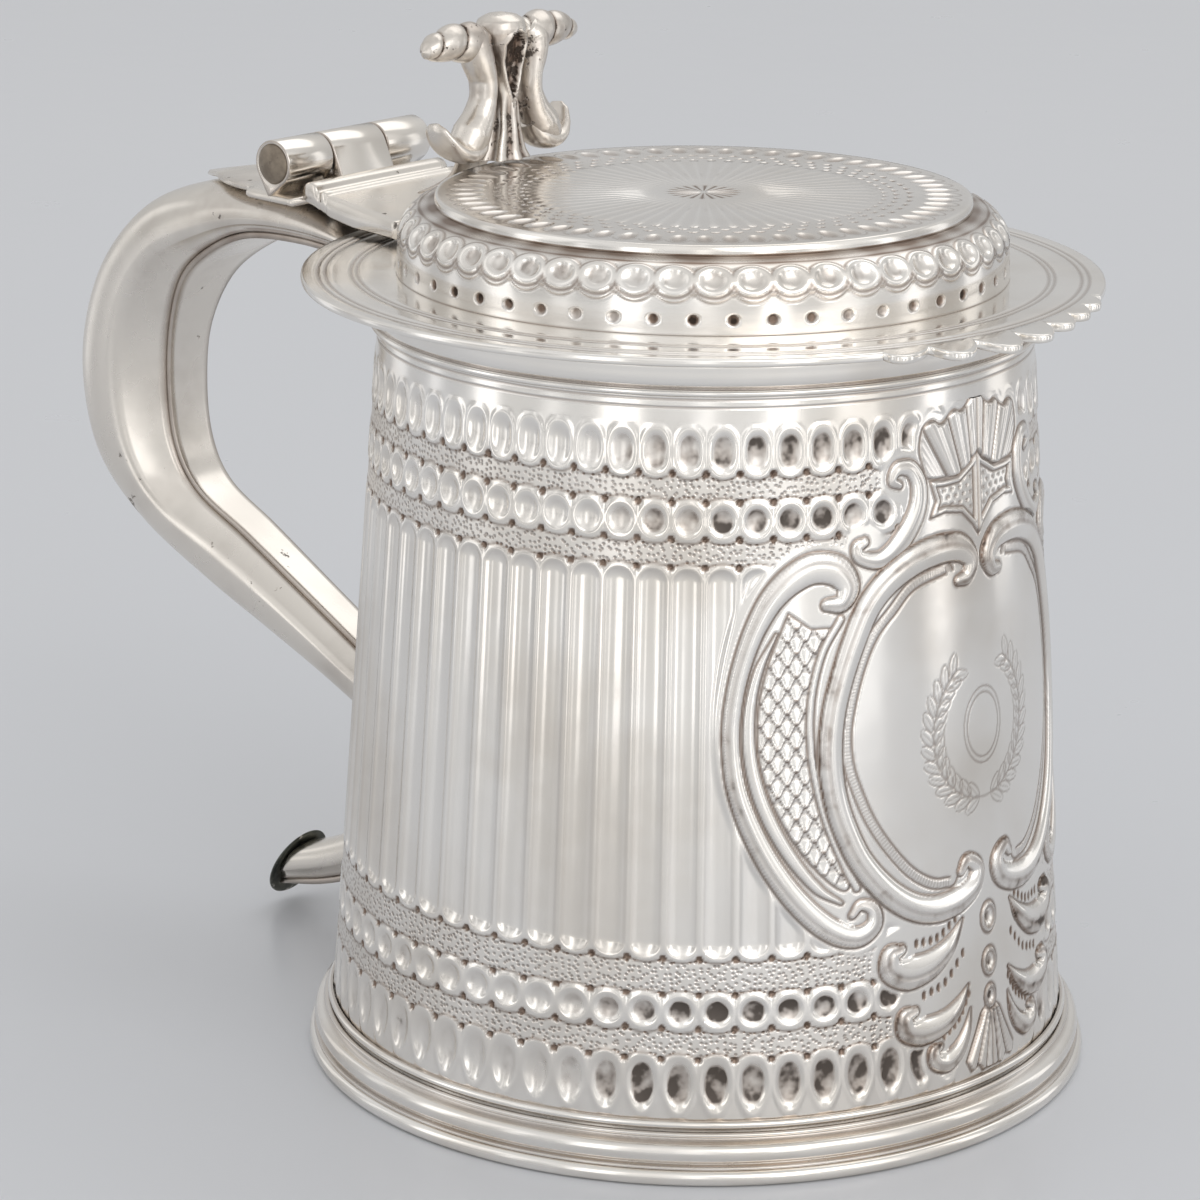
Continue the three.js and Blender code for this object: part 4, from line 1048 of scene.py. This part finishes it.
def make_band():
    """The raised band: its profile is carried round and pushed in by dishes, a scalloped line,
    pellets and punched dots, all laid out by the length along the profile."""
    low = BRIM_TOP - 0.05
    outside = through([(BAND_R, low), (BAND_R - 0.1, low + 2.6), (BAND_R - 0.2, low + 4.8),
                       (BAND_R - 0.6, low + 7.3), (BAND_R - 1.7, low + 9.4), (BAND_R - 3.5, low + 10.9),
                       (BAND_R - 5.6, BAND_TOP - 0.3), (BAND_R - 7, BAND_TOP - 0.05),
                       (BAND_R - 9.5, BAND_TOP - 0.05)], 12)
    profile = spaced(outside, 0.24)
    step = np.linalg.norm(np.diff(profile, axis=0), axis=1)
    length = np.concatenate([[0], np.cumsum(step)])[:, None]
    slope = np.gradient(profile, axis=0)
    normal = np.stack([slope[:, 1], -slope[:, 0]], -1)
    normal /= np.linalg.norm(normal, axis=1)[:, None]
    angle = np.arange(BAND_LOBES * 18)[None, :] * FULL_TURN / (BAND_LOBES * 18)
    x, pitch = across_lobe(angle, BAND_R, BAND_LOBES, 0.0)
    up = length - BAND_LOBES_UP
    reach = np.hypot(x / (0.335 * pitch), up / 1.75)
    height = -0.6 * np.clip(1 - reach ** 2.4, 0, 1) + 0.3 * np.exp(-((reach - 1.35) / 0.36) ** 2)
    hollow = 0.5 * smooth(1.0, 0.7, reach)
    edge = np.hypot(x / (0.56 * pitch), up / 3.1)
    below = smooth(0.0, 1.0, -up)
    line = 0.8 * groove((edge - 1) * 3.1, 0.32) * below
    ledge = np.hypot(x / (0.6 * pitch), up / 3.9)
    line = np.maximum(line, 0.45 * groove((ledge - 1) * 3.9, 0.3) * below)
    height += 0.16 * groove((ledge - 0.9) * 3.9, 0.5) * below
    ring_above = groove((np.hypot(x / (0.56 * pitch), up / 2.75) - 1) * 2.75, 0.3) * smooth(0.0, 1.0, up)
    line = np.maximum(line, 0.7 * ring_above)
    cusp = pitch / 2 - np.abs(x)
    pellet = np.hypot(cusp, length - BAND_PELLETS_UP)
    height -= 0.16 * line
    height += 0.2 * groove(pellet, 0.75)
    line = np.maximum(line, 0.5 * groove(pellet - 0.75, 0.3))
    dot = np.hypot(cusp, length - BAND_DOTS_UP)
    height -= 0.45 * smooth(1.05, 0.6, dot)
    wobble = 0.5 + 0.5 * np.sin(angle * 7.0 + 1.0)
    hollow = np.maximum(hollow, smooth(0.95, 0.6, dot) * (0.45 + 0.5 * wobble))
    line = np.maximum(line, (0.45 + 0.45 * wobble) * smooth(1.1, 0.8, dot))
    # Painted shade: the shoulder is browned where it runs in under the top plate's edge, unevenly round the
    # band, with a darker line at 12.6 mm along the profile.
    uneven_shade = 0.5 + 0.3 * np.sin(angle * 9 + 2 * np.sin(angle * 4)) * np.sin(angle * 23 + 1)
    shoulder_shade = uneven_shade * smooth(11.4, 12.6, length) + 0.4 * smooth(13.4, 14.6, length)
    line = np.maximum(line, shoulder_shade + 0.45 * groove(length - 12.6, 0.35) + 0 * x)
    line = np.maximum(line, 0.6 * smooth(0.4, 0.0, length) + 0 * x)
    radius = profile[:, :1] + normal[:, :1] * height
    z = profile[:, 1:] + normal[:, 1:] * height
    back = profile[::-1][::12] - normal[::-1][::12] * WALL * 0.8
    radius = np.vstack([radius, np.repeat(back[:, :1], angle.size, 1)])
    z = np.vstack([z, np.repeat(np.maximum(back[:, 1:], low), angle.size, 1)])
    pad = ((0, len(back)), (0, 0))
    skin("lid_band", revolved(radius, angle, z, LID_X), "lid", POLISHED, around=True,
         along=True, line=np.pad(line, pad), hollow=np.pad(hollow, pad))


def make_top_plate():
    """A thin disc with a polar relief: petals at the rim, three rings of dashes, rays, ticks and a
    star."""
    count = 60
    angle = np.arange(count * 16)[None, :] * FULL_TURN / (count * 16)
    radii = np.unique(np.concatenate([np.linspace(0.6, 9, 14), np.linspace(9, 30.5, 10),
                                      np.linspace(30.5, 45.2, 62)]))[::-1][:, None]
    petal_x, pitch = across_lobe(angle, 40.5, count, 0.5)
    petal = np.hypot(petal_x / (0.4 * pitch), (radii - 40.6) / 3.0)
    height = -0.5 * np.clip(1 - petal ** 2, 0, 1) + 0 * angle
    arc_line = groove((np.hypot(petal_x / (0.56 * pitch), (radii - 39.6) / 4.6) - 1) * 4.6, 0.3)
    line = 0.6 * arc_line * smooth(41, 42.5, radii)
    line = np.maximum(line, 0.45 * smooth(1.05, 0.6, petal))
    hollow = 0.3 * smooth(1.0, 0.4, petal)
    for ring, turn, strength in ((35.6, 0.0, 1.0), (33.2, 0.5, 0.9), (31.2, 0.0, 0.7)):
        dash_x, ring_pitch = across_lobe(angle, ring, count, turn)
        dash = np.hypot(dash_x / (0.32 * ring_pitch), (radii - ring + np.abs(dash_x) * 0.5) / 0.55)
        height -= 0.2 * groove(dash, 1.0)
        line = np.maximum(line, strength * groove(dash, 1.0))
    ray = (0.5 + 0.5 * np.cos(angle * count)) ** 3 * smooth(7.5, 12, radii) * smooth(30.6, 28.5, radii)
    height += 0.1 * ray
    line = np.maximum(line, 0.12 * (1 - ray) * smooth(9, 14, radii))
    star = (0.5 + 0.5 * np.cos(angle * 20)) ** 2 * smooth(0.8, 1.4, radii) * smooth(6.8, 5.6, radii)
    height -= 0.1 * star
    line = np.maximum(line, 1.1 * star)
    ticks_x, ticks_pitch = across_lobe(angle, 15.5, 36, 0.0)
    ticks = groove(np.hypot(ticks_x / (0.2 * ticks_pitch), (radii - 15.6) / 0.9), 1.0)
    line = np.maximum(line, 0.4 * ticks)
    low = BAND_TOP - 0.25
    dome = 0.12 * (1 - (radii / PLATE_R) ** 2)
    z = PLATE_TOP + dome + height
    edge = np.array([(0.4, low), (PLATE_R - 0.4, low), (PLATE_R - 0.05, low + 0.25), (PLATE_R, low + 0.5),
                     (PLATE_R - 0.12, PLATE_TOP - 0.12), (PLATE_R - 0.4, PLATE_TOP + 0.02)])
    wide = np.ones((1, angle.size))
    radius = np.vstack([0 * wide, edge[:, :1] * wide, radii * wide, 0 * wide])
    z = np.vstack([low * wide, edge[:, 1:] * wide, z, (PLATE_TOP + 0.12) * wide])
    pad = ((1 + len(edge), 1), (0, 0))
    skin("lid_top_plate", revolved(radius, angle, z, LID_X), "lid", POLISHED,
         around=True, line=np.pad(line, pad), hollow=np.pad(hollow, pad))


def make_bezel():
    """The plain ring under the lid that drops into the mouth."""
    outer = drum_radius(DRUM_TOP) - WALL - 1.2
    low, high = DRUM_TOP - 3.4, BRIM_TOP - 1.8
    profile = [(outer - 0.5, low), (outer - 0.15, low + 0.25), (outer, low + 0.9), (outer, high),
               (outer - 1.5, high), (outer - 1.5, low + 0.3), (outer - 1.2, low)]
    turned("lid_bezel", profile, "lid", WORN)


# ---- handle --------------------------------------------------------------------------------------
# Stations down the handle: a point on the strap, a point on the back, the half widths of the strap
# and of the shell, and how far behind the strap the shell is widest.

HANDLE = np.array([
    (-56.5, 132.8, -56.5, 136.8, 12.3, 13.0, 1.2), (-72.0, 134.3, -71.5, 138.7, 12.3, 13.0, 1.2),
    (-86.0, 135.5, -86.0, 143.2, 12.3, 13.0, 1.4), (-100.0, 134.5, -103.0, 143.9, 11.8, 13.0, 1.8),
    (-112.0, 129.7, -118.5, 142.0, 9.8, 12.8, 3.0), (-121.5, 122.6, -133.5, 136.0, 7.4, 12.2, 5.5),
    (-126.6, 112.0, -146.5, 122.5, 5.6, 11.3, 8.0), (-127.8, 100.0, -152.85, 104.0, 5.1, 10.5, 9.0),
    (-126.2, 89.0, -149.5, 85.5, 4.9, 10.0, 8.0), (-120.8, 81.3, -137.0, 72.8, 4.6, 9.4, 6.0),
    (-109.0, 74.9, -119.0, 62.8, 4.3, 8.6, 4.0), (-95.0, 66.9, -102.5, 55.6, 4.0, 8.0, 3.0),
    (-80.0, 58.2, -87.0, 48.8, 3.8, 7.4, 2.8), (-67.5, 50.6, -75.5, 42.4, 3.6, 6.9, 2.6),
    (-61.2, 42.0, -70.6, 36.4, 3.6, 6.6, 2.6), (-61.4, 31.0, -71.0, 30.4, 3.6, 6.3, 2.6),
    (-68.6, 20.0, -75.8, 24.6, 3.6, 6.0, 2.5), (-79.0, 11.8, -83.4, 19.4, 3.6, 5.8, 2.5),
    (-89.5, 7.4, -91.4, 15.6, 3.8, 5.6, 2.5), (-101.2, 4.8, -97.4, 13.4, 4.0, 5.6, 2.5)])
HANDLE_STEPS = 10
STRAPS = [("handle_strap", 0, 140), ("handle_tail_strap", 154, 190)]  # first and last step of each
STRAP_THICK = 1.2


def outside_drum(points):
    """Moves points that lie inside the drum's wall out to the middle of the wall."""
    radius = np.hypot(points[..., 0], points[..., 1])
    wanted = drum_radius(points[..., 2]) - WALL * 0.45
    push = np.where(radius < wanted, wanted / radius, 1.0)
    return points * np.stack([push, push, np.ones_like(push)], -1)


def carried(stations, across, depth):
    """Places a section: across is along y, and depth runs from the strap's point to the back's."""
    strap, back = stations[:, None, 0:2], stations[:, None, 2:4]
    axis = (back - strap) / np.linalg.norm(back - strap, axis=-1, keepdims=True)
    flat = strap + axis * depth[..., None]
    return np.stack([flat[..., 0], across, flat[..., 1]], -1)


def make_handle():
    """The shell: a straight flank from the strap to a ridge, then a superellipse over the back, on
    sections carried down the stations; the strap closes it and is cut where it meets the drum."""
    stations = through(HANDLE, HANDLE_STEPS)
    strap_half, shell_half, ridge = (stations[:, 4:5], stations[:, 5:6], stations[:, 6:7])
    deep = np.linalg.norm(stations[:, 2:4] - stations[:, 0:2], axis=1)[:, None]
    start = STRAP_THICK + 0.15
    sweep = np.linspace(0, math.pi / 2, 15)[None, :]
    arc_across = shell_half * np.cos(sweep) ** 0.8
    arc_depth = ridge + start + (deep - ridge - start) * np.sin(sweep) ** 0.8
    share = np.linspace(0, 1, 7)[None, :-1]
    sag = 0.35 * np.sin(share * math.pi)
    flank_across = strap_half + (shell_half - strap_half) * share - sag
    flank_depth = start + ridge * share
    half_across = np.hstack([flank_across, arc_across])
    half_depth = np.hstack([flank_depth, arc_depth])
    under = np.linspace(-1, 1, 9)[None, 1:-1] * strap_half
    across = np.hstack([half_across, -half_across[:, -2::-1], under])
    depth = np.hstack([half_depth, half_depth[:, -2::-1], np.full_like(under, start)])
    points = outside_drum(carried(stations, across, depth))
    edge = smooth(0.9, 1.0, 1 - np.abs(np.abs(across) - strap_half) / strap_half)
    line = 0.45 * edge * (depth < start + 0.6)
    closed_tube("handle_shell", points, "tankard", WORN, line=line)
    for name, first, last in STRAPS:
        part = stations[first:last + 1]
        bevel = 0.25
        half = part[:, 4:5]
        rim = np.hstack([half - bevel, half, half, half - bevel])
        inner = np.linspace(1, -1, 9)[None, 1:-1] * (half - bevel)
        strap_across = np.hstack([inner, -rim, -inner, rim[:, ::-1]])
        levels = [0, bevel, STRAP_THICK - bevel, STRAP_THICK]
        strap_depth = np.hstack([np.zeros(7), levels, np.full(7, STRAP_THICK), levels[::-1]])
        strap_depth = np.broadcast_to(strap_depth, strap_across.shape)
        crease = 0.5 * smooth(0.86, 1.0, np.abs(strap_across) / half)
        closed_tube(name, outside_drum(carried(part, strap_across, strap_depth)), "tankard",
                    WORN, line=crease)


def make_terminal():
    """The oval dome that closes the tail: rings of an oval, swelling out along its tilted axis."""
    rings = through([(0, 0), (0.5, 0), (0.92, 0), (1, 0.25), (0.86, 0.66), (0.5, 0.93), (0.2, 0.99),
                     (0, 1)], 5)
    angle = np.arange(64) * FULL_TURN / 64
    up = 7.4 * rings[:, :1] * np.sin(angle)
    side = 7.0 * rings[:, :1] * np.cos(angle)
    out = 3.0 * rings[:, 1:] + 0 * angle
    tilt = math.radians(24)
    x = -99.6 - out * math.cos(tilt) + up * math.sin(tilt)
    z = 8.9 - out * math.sin(tilt) + up * math.cos(tilt)
    skin("handle_terminal", np.stack([x, side, z], -1), "tankard", DARK_TARNISH,
         around=True)


def make_plate(name, body, stations, crown=0.25):
    """A plate along x from stations (x, top, bottom, half width), its section a rounded rectangle."""
    run = through(stations, 6)
    x, top, low, half = (run[:, i:i + 1] for i in range(4))
    share = np.linspace(-1, 1, 19)[None, :]
    bevel = np.minimum(0.35, (top - low) * 0.3)
    upper_z = top + crown * (1 - share ** 2) - crown
    upper = np.stack([x + 0 * share, (half - bevel) * share, upper_z], -1)
    edge_z = np.hstack([top - crown - bevel, low + bevel])
    right = np.stack([np.hstack([x, x]), np.hstack([half, half]), edge_z], -1)
    lower = np.stack([x + 0 * share, -(half - bevel) * share, low + 0 * share], -1)
    left = right * [1, -1, 1]
    ring = np.concatenate([upper, right, lower, left[:, ::-1]], axis=1)
    closed_tube(name, ring, body, WORN)


def make_hinge_plates():
    make_plate("handle_hinge_plate", "tankard", [
        (-80.9, 145.6, 144.0, 19.0), (-88, 145.8, 144.2, 19.0), (-92.6, 145.9, 144.4, 18.8),
        (-95, 145.9, 144.5, 15.6), (-100, 145.8, 144.5, 14.4), (-104.5, 145.7, 144.4, 12.6),
        (-109, 145.3, 144.1, 9.6), (-113, 144.9, 143.7, 6.2), (-118, 144.0, 142.9, 2.8),
        (-120.8, 143.4, 142.5, 0.8)])
    make_plate("lid_hinge_plate", "lid", [
        (-79.6, 147.6, 145.3, 17.4), (-78.9, 148.5, 144.9, 17.5), (-77.8, 148.75, 144.6, 17.5),
        (-76.6, 148.4, 144.3, 17.6), (-75.9, 147.4, 144.0, 17.6), (-75.3, 147.2, 143.9, 17.6),
        (-74.7, 147.5, 143.7, 17.7), (-74.1, 147.4, 143.5, 17.7), (-73.5, 146.8, 143.2, 17.7),
        (-72.6, 146.55, 142.9, 17.8), (-66, 145.7, 141.9, 18.4), (-60, 145.3, 141.8, 19.4),
        (-54, 145.0, 141.8, 20.8)], crown=0.1)


def about_pin(radius, angle, y):
    """Points at a radius and an angle about the hinge pin, and at y along it."""
    x = HINGE_X + radius * np.cos(angle)
    return np.stack([x, y + 0 * x, HINGE_Z + radius * np.sin(angle)], -1)


def knuckle(name, body, start, end, point, recess_start=0.0, recess_end=0.0):
    """A rolled tube whose section is a circle drawn out to a point, so that its reach round the
    barrel's middle is R / cos(turn from the tangent). A recess sinks one end for the pin's cap."""
    sides, cap_r, bore = 96, BARREL_R - 0.8, 1.9
    angle = np.arange(sides) * FULL_TURN / sides
    aim = math.atan2(point[1] - HINGE_Z, point[0] - HINGE_X)
    far = math.hypot(point[0] - HINGE_X, point[1] - HINGE_Z)
    spread = math.acos(BARREL_R / far)
    turn = np.abs((angle - aim + math.pi) % FULL_TURN - math.pi)
    reach = np.where(turn < spread, BARREL_R / np.cos(spread - turn), BARREL_R)
    rings = []
    for y, recess, inwards in ((start, recess_start, 1), (end, recess_end, -1)):
        rounding = 0.3 * inwards
        rows = [(np.full(sides, bore), y + recess * inwards)]
        if recess:
            rows += [(np.full(sides, cap_r), y + recess * inwards),
                     (np.full(sides, cap_r), y + rounding * 0.4)]
        rows += [(reach * 0.985 - 0.2, y), (reach - 0.09, y + rounding * 0.35), (reach, y + rounding)]
        rings += rows if inwards == 1 else rows[::-1]
    radius = np.stack([r for r, _ in rings])
    y = np.array([y for _, y in rings])[:, None]
    ends = np.minimum(np.abs(y - start), np.abs(y - end))
    line = 0.5 * (ends < 0.15) * (radius > cap_r + 0.2)
    skin(name, about_pin(radius, angle, y), body, POLISHED, around=True, along=True, line=line)


def end_cap(name, side):
    """A low domed button over the end of the pin."""
    radius = BARREL_R - 0.75
    inner = BARREL_HALF - 1.3
    profile = through([(0, inner), (radius * 0.6, inner), (radius, inner), (radius, BARREL_HALF - 0.2),
                       (radius * 0.85, BARREL_HALF + 0.3), (radius * 0.45, BARREL_HALF + 0.68),
                       (0, BARREL_HALF + 0.8)], 5)
    angle = np.arange(48) * FULL_TURN / 48
    points = about_pin(profile[:, :1], angle, side * profile[:, 1:])
    skin(name, points, "tankard", DULL_CAP, around=True)


def make_hinge():
    make_hinge_plates()
    sheet_point = (-86.9, 144.9)
    knuckle("hinge_knuckle_near", "tankard", -BARREL_HALF, -7.3, sheet_point, recess_start=1.6)
    knuckle("hinge_knuckle_far", "tankard", 7.3, BARREL_HALF, sheet_point, recess_end=1.6)
    knuckle("lid_knuckle", "lid", -7.0, 7.0, (-78.9, 146.5))
    end_cap("hinge_end_cap_near", -1)
    end_cap("hinge_end_cap_far", 1)


# ---- thumbpiece ----------------------------------------------------------------------------------

THUMB_X = -47.5


def sided(name, side):
    """The name of the left or the right one of a pair."""
    return name + ("_left" if side < 0 else "_right")


def tube(route, half_x, half_across, sides):
    """Rings of an oval carried along a route: half_x is its half width along x and half_across the
    half width square to x and to the route."""
    line = through(route)
    count = len(route)
    where = np.linspace(0, count - 1, len(line))
    wide = np.interp(where, range(count), half_x)[:, None]
    deep = np.interp(where, range(count), half_across)[:, None]
    tangent = np.gradient(line, axis=0)
    tangent /= np.linalg.norm(tangent, axis=1)[:, None]
    ahead = np.array([1.0, 0, 0])
    first = ahead - tangent * (tangent @ ahead)[:, None]
    first /= np.linalg.norm(first, axis=1)[:, None]
    second = np.cross(tangent, first)
    angle = np.arange(sides)[None, :] * FULL_TURN / sides
    return (line[:, None, :] + first[:, None, :] * (wide * np.cos(angle))[..., None]
            + second[:, None, :] * (deep * np.sin(angle))[..., None])


def make_horn(side):
    """A volute: a stubby horn in three swelling turns, with a groove winding round it to its tip."""
    along = np.linspace(0, 1, 90)[:, None]
    angle = np.arange(40)[None, :] * FULL_TURN / 40
    y = 5.4 + 15.1 * along ** 0.9
    base = np.interp(along, [0, 0.12, 0.3, 0.55, 0.8, 0.93, 1.0], [3.0, 3.6, 3.6, 3.1, 2.4, 1.5, 0.0])
    wind = along * 2.6 * FULL_TURN - angle * side
    crease = np.abs(np.sin(wind / 2)) ** 0.55
    radius = base * (0.80 + 0.22 * crease * (along < 0.97))
    drop = 1.4 * np.sin(along * math.pi) + 0.4 * along
    x = THUMB_X + radius * np.cos(angle)
    z = 175.9 - 0.4 * along + 0.5 * drop + radius * np.sin(angle)
    hollow = 0.9 * smooth(0.5, 0.1, crease) + 0 * x
    points = np.stack([x, side * (y + 0 * x), z], -1)
    closed_tube(sided("thumbpiece_horn", side), points, "lid", CAST, "thumbpiece", hollow=hollow)


def make_limb(side):
    """A smooth broad limb from under the horn, waisted, then widening into a spoon-shaped foot."""
    route = [(THUMB_X + 0.3, 6.2, 177.4), (THUMB_X + 0.7, 7.6, 175.6), (THUMB_X + 1.1, 7.0, 172.6),
             (THUMB_X + 1.4, 6.1, 169.4), (THUMB_X + 1.5, 6.2, 166.2), (THUMB_X + 1.5, 7.4, 163.0),
             (THUMB_X + 1.5, 9.2, 160.3), (THUMB_X + 1.3, 10.6, 158.2), (THUMB_X + 0.8, 11.4, 156.6)]
    half_x = [2.6, 3.4, 3.4, 3.0, 2.8, 3.1, 3.6, 3.4, 1.6]
    half_across = [2.4, 3.0, 2.6, 2.0, 2.0, 2.7, 3.4, 3.2, 1.5]
    ring = tube(route, half_x, half_across, 32) * [1, side, 1]
    inner = smooth(0.2, 1.0, -side * (ring[..., 1] - ring[..., 1].mean(1, keepdims=True)) / 2.0)
    closed_tube(sided("thumbpiece_limb", side), ring, "lid", CAST, "thumbpiece", hollow=0.6 * inner)


def make_fluke(side):
    """The up-curled blade at a limb's foot: a wide tube that hooks outwards and up to a blunt tip."""
    route = [(THUMB_X + 0.6, 6.6, 160.4), (THUMB_X + 0.9, 8.6, 157.9), (THUMB_X + 0.9, 10.8, 157.0),
             (THUMB_X + 0.5, 13.0, 157.5), (THUMB_X - 0.1, 14.9, 159.2), (THUMB_X - 0.6, 16.2, 161.4),
             (THUMB_X - 0.8, 16.6, 162.6)]
    ring = tube(route, [2.6, 3.7, 4.2, 4.1, 3.6, 2.6, 1.2], [1.3, 2.1, 2.0, 1.6, 1.25, 0.9, 0.4], 28)
    closed_tube(sided("thumbpiece_fluke", side), ring * [1, side, 1], "lid", CAST, "thumbpiece",
                hollow=0.12)


def make_crown():
    """The middle: a pillar, fluted below and swelling to a bulbous crown with a drop-shaped hollow
    sunk into its front inside a raised rim."""
    along = np.linspace(0, 1, 130)[:, None]
    angle = np.arange(72)[None, :] * FULL_TURN / 72
    z = 154.8 + 26.0 * along
    wide = np.interp(along, [0, 0.06, 0.2, 0.42, 0.6, 0.75, 0.87, 0.94, 0.98, 1],
                     [5.2, 4.3, 3.1, 2.6, 3.2, 4.4, 5.0, 4.5, 3.0, 0.0])
    deep = np.interp(along, [0, 0.06, 0.3, 0.5, 0.75, 0.9, 0.95, 0.985, 1],
                     [4.4, 3.8, 3.1, 3.1, 4.1, 4.5, 4.0, 2.4, 0])
    flutes = 1 + 0.1 * np.cos(angle * 8) * smooth(0.5, 0.3, along)
    y = wide * np.sin(angle) * flutes
    x = deep * np.cos(angle) * flutes
    drop_half = np.interp(z, [164, 166.5, 169, 172.5, 175.5, 177.2, 178.0], [0, 0.7, 1.5, 2.4, 2.5, 1.4, 0])
    front = np.cos(angle) > 0
    reach = np.where((drop_half > 0) & front, np.abs(y) / np.maximum(drop_half, 1e-3), 9.0)
    rim = np.exp(-((reach - 1.2) / 0.2) ** 2) * smooth(0, 0.5, drop_half)
    x = x - 1.9 * smooth(1.0, 0.7, reach) + 0.5 * rim
    between_flutes = smooth(0.2, -0.6, np.cos(angle * 8)) * smooth(0.5, 0.3, along)
    hollow = np.maximum(1.2 * smooth(1.02, 0.85, reach), 0.7 * between_flutes)
    points = np.stack([THUMB_X + 0.3 + x, y, z + 0 * x], -1)
    closed_tube("thumbpiece_crown", points, "lid", CAST, "thumbpiece", hollow=hollow)


def make_tongue():
    """The curved strut from the thumbpiece's back down to the hinge plate."""
    route = [(-52.2, 0, 157.4), (-53, 0, 155.4), (-54.4, 0, 152.6), (-56.4, 0, 150.2), (-59.4, 0, 148.3),
             (-62.6, 0, 147)]
    line = through(route)
    where = np.linspace(0, 5, len(line))
    half = np.interp(where, range(6), [4.4, 4.9, 4.4, 4.0, 4.6, 5.3])[:, None]
    thick = np.interp(where, range(6), [0.5, 0.9, 1.0, 1.0, 0.8, 0.4])[:, None]
    tangent = np.gradient(line, axis=0)
    tangent /= np.linalg.norm(tangent, axis=1)[:, None]
    normal = np.cross(tangent, [0, 1, 0])
    angle = np.arange(28)[None, :] * FULL_TURN / 28
    aside = half * np.sign(np.cos(angle)) * np.abs(np.cos(angle)) ** 0.7
    ring = (line[:, None, :] + normal[:, None, :] * (thick * np.sin(angle))[..., None]
            + np.array([0, 1, 0]) * aside[..., None])
    closed_tube("thumbpiece_tongue", ring, "lid", CAST, hollow=0.35)


def make_thumbpiece():
    for side in (-1, 1):
        make_horn(side)
        make_limb(side)
        make_fluke(side)
    make_crown()
    make_tongue()


# ---- assembly ------------------------------------------------------------------------------------

for make in (make_studio, make_drum, make_foot, make_base, make_lip, make_brim, make_band, make_top_plate,
             make_bezel, make_handle, make_terminal, make_hinge, make_thumbpiece):
    make()
pin_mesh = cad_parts["hinge_pin"].data
pin_mesh.materials.clear()
pin_mesh.materials.append(WORN)
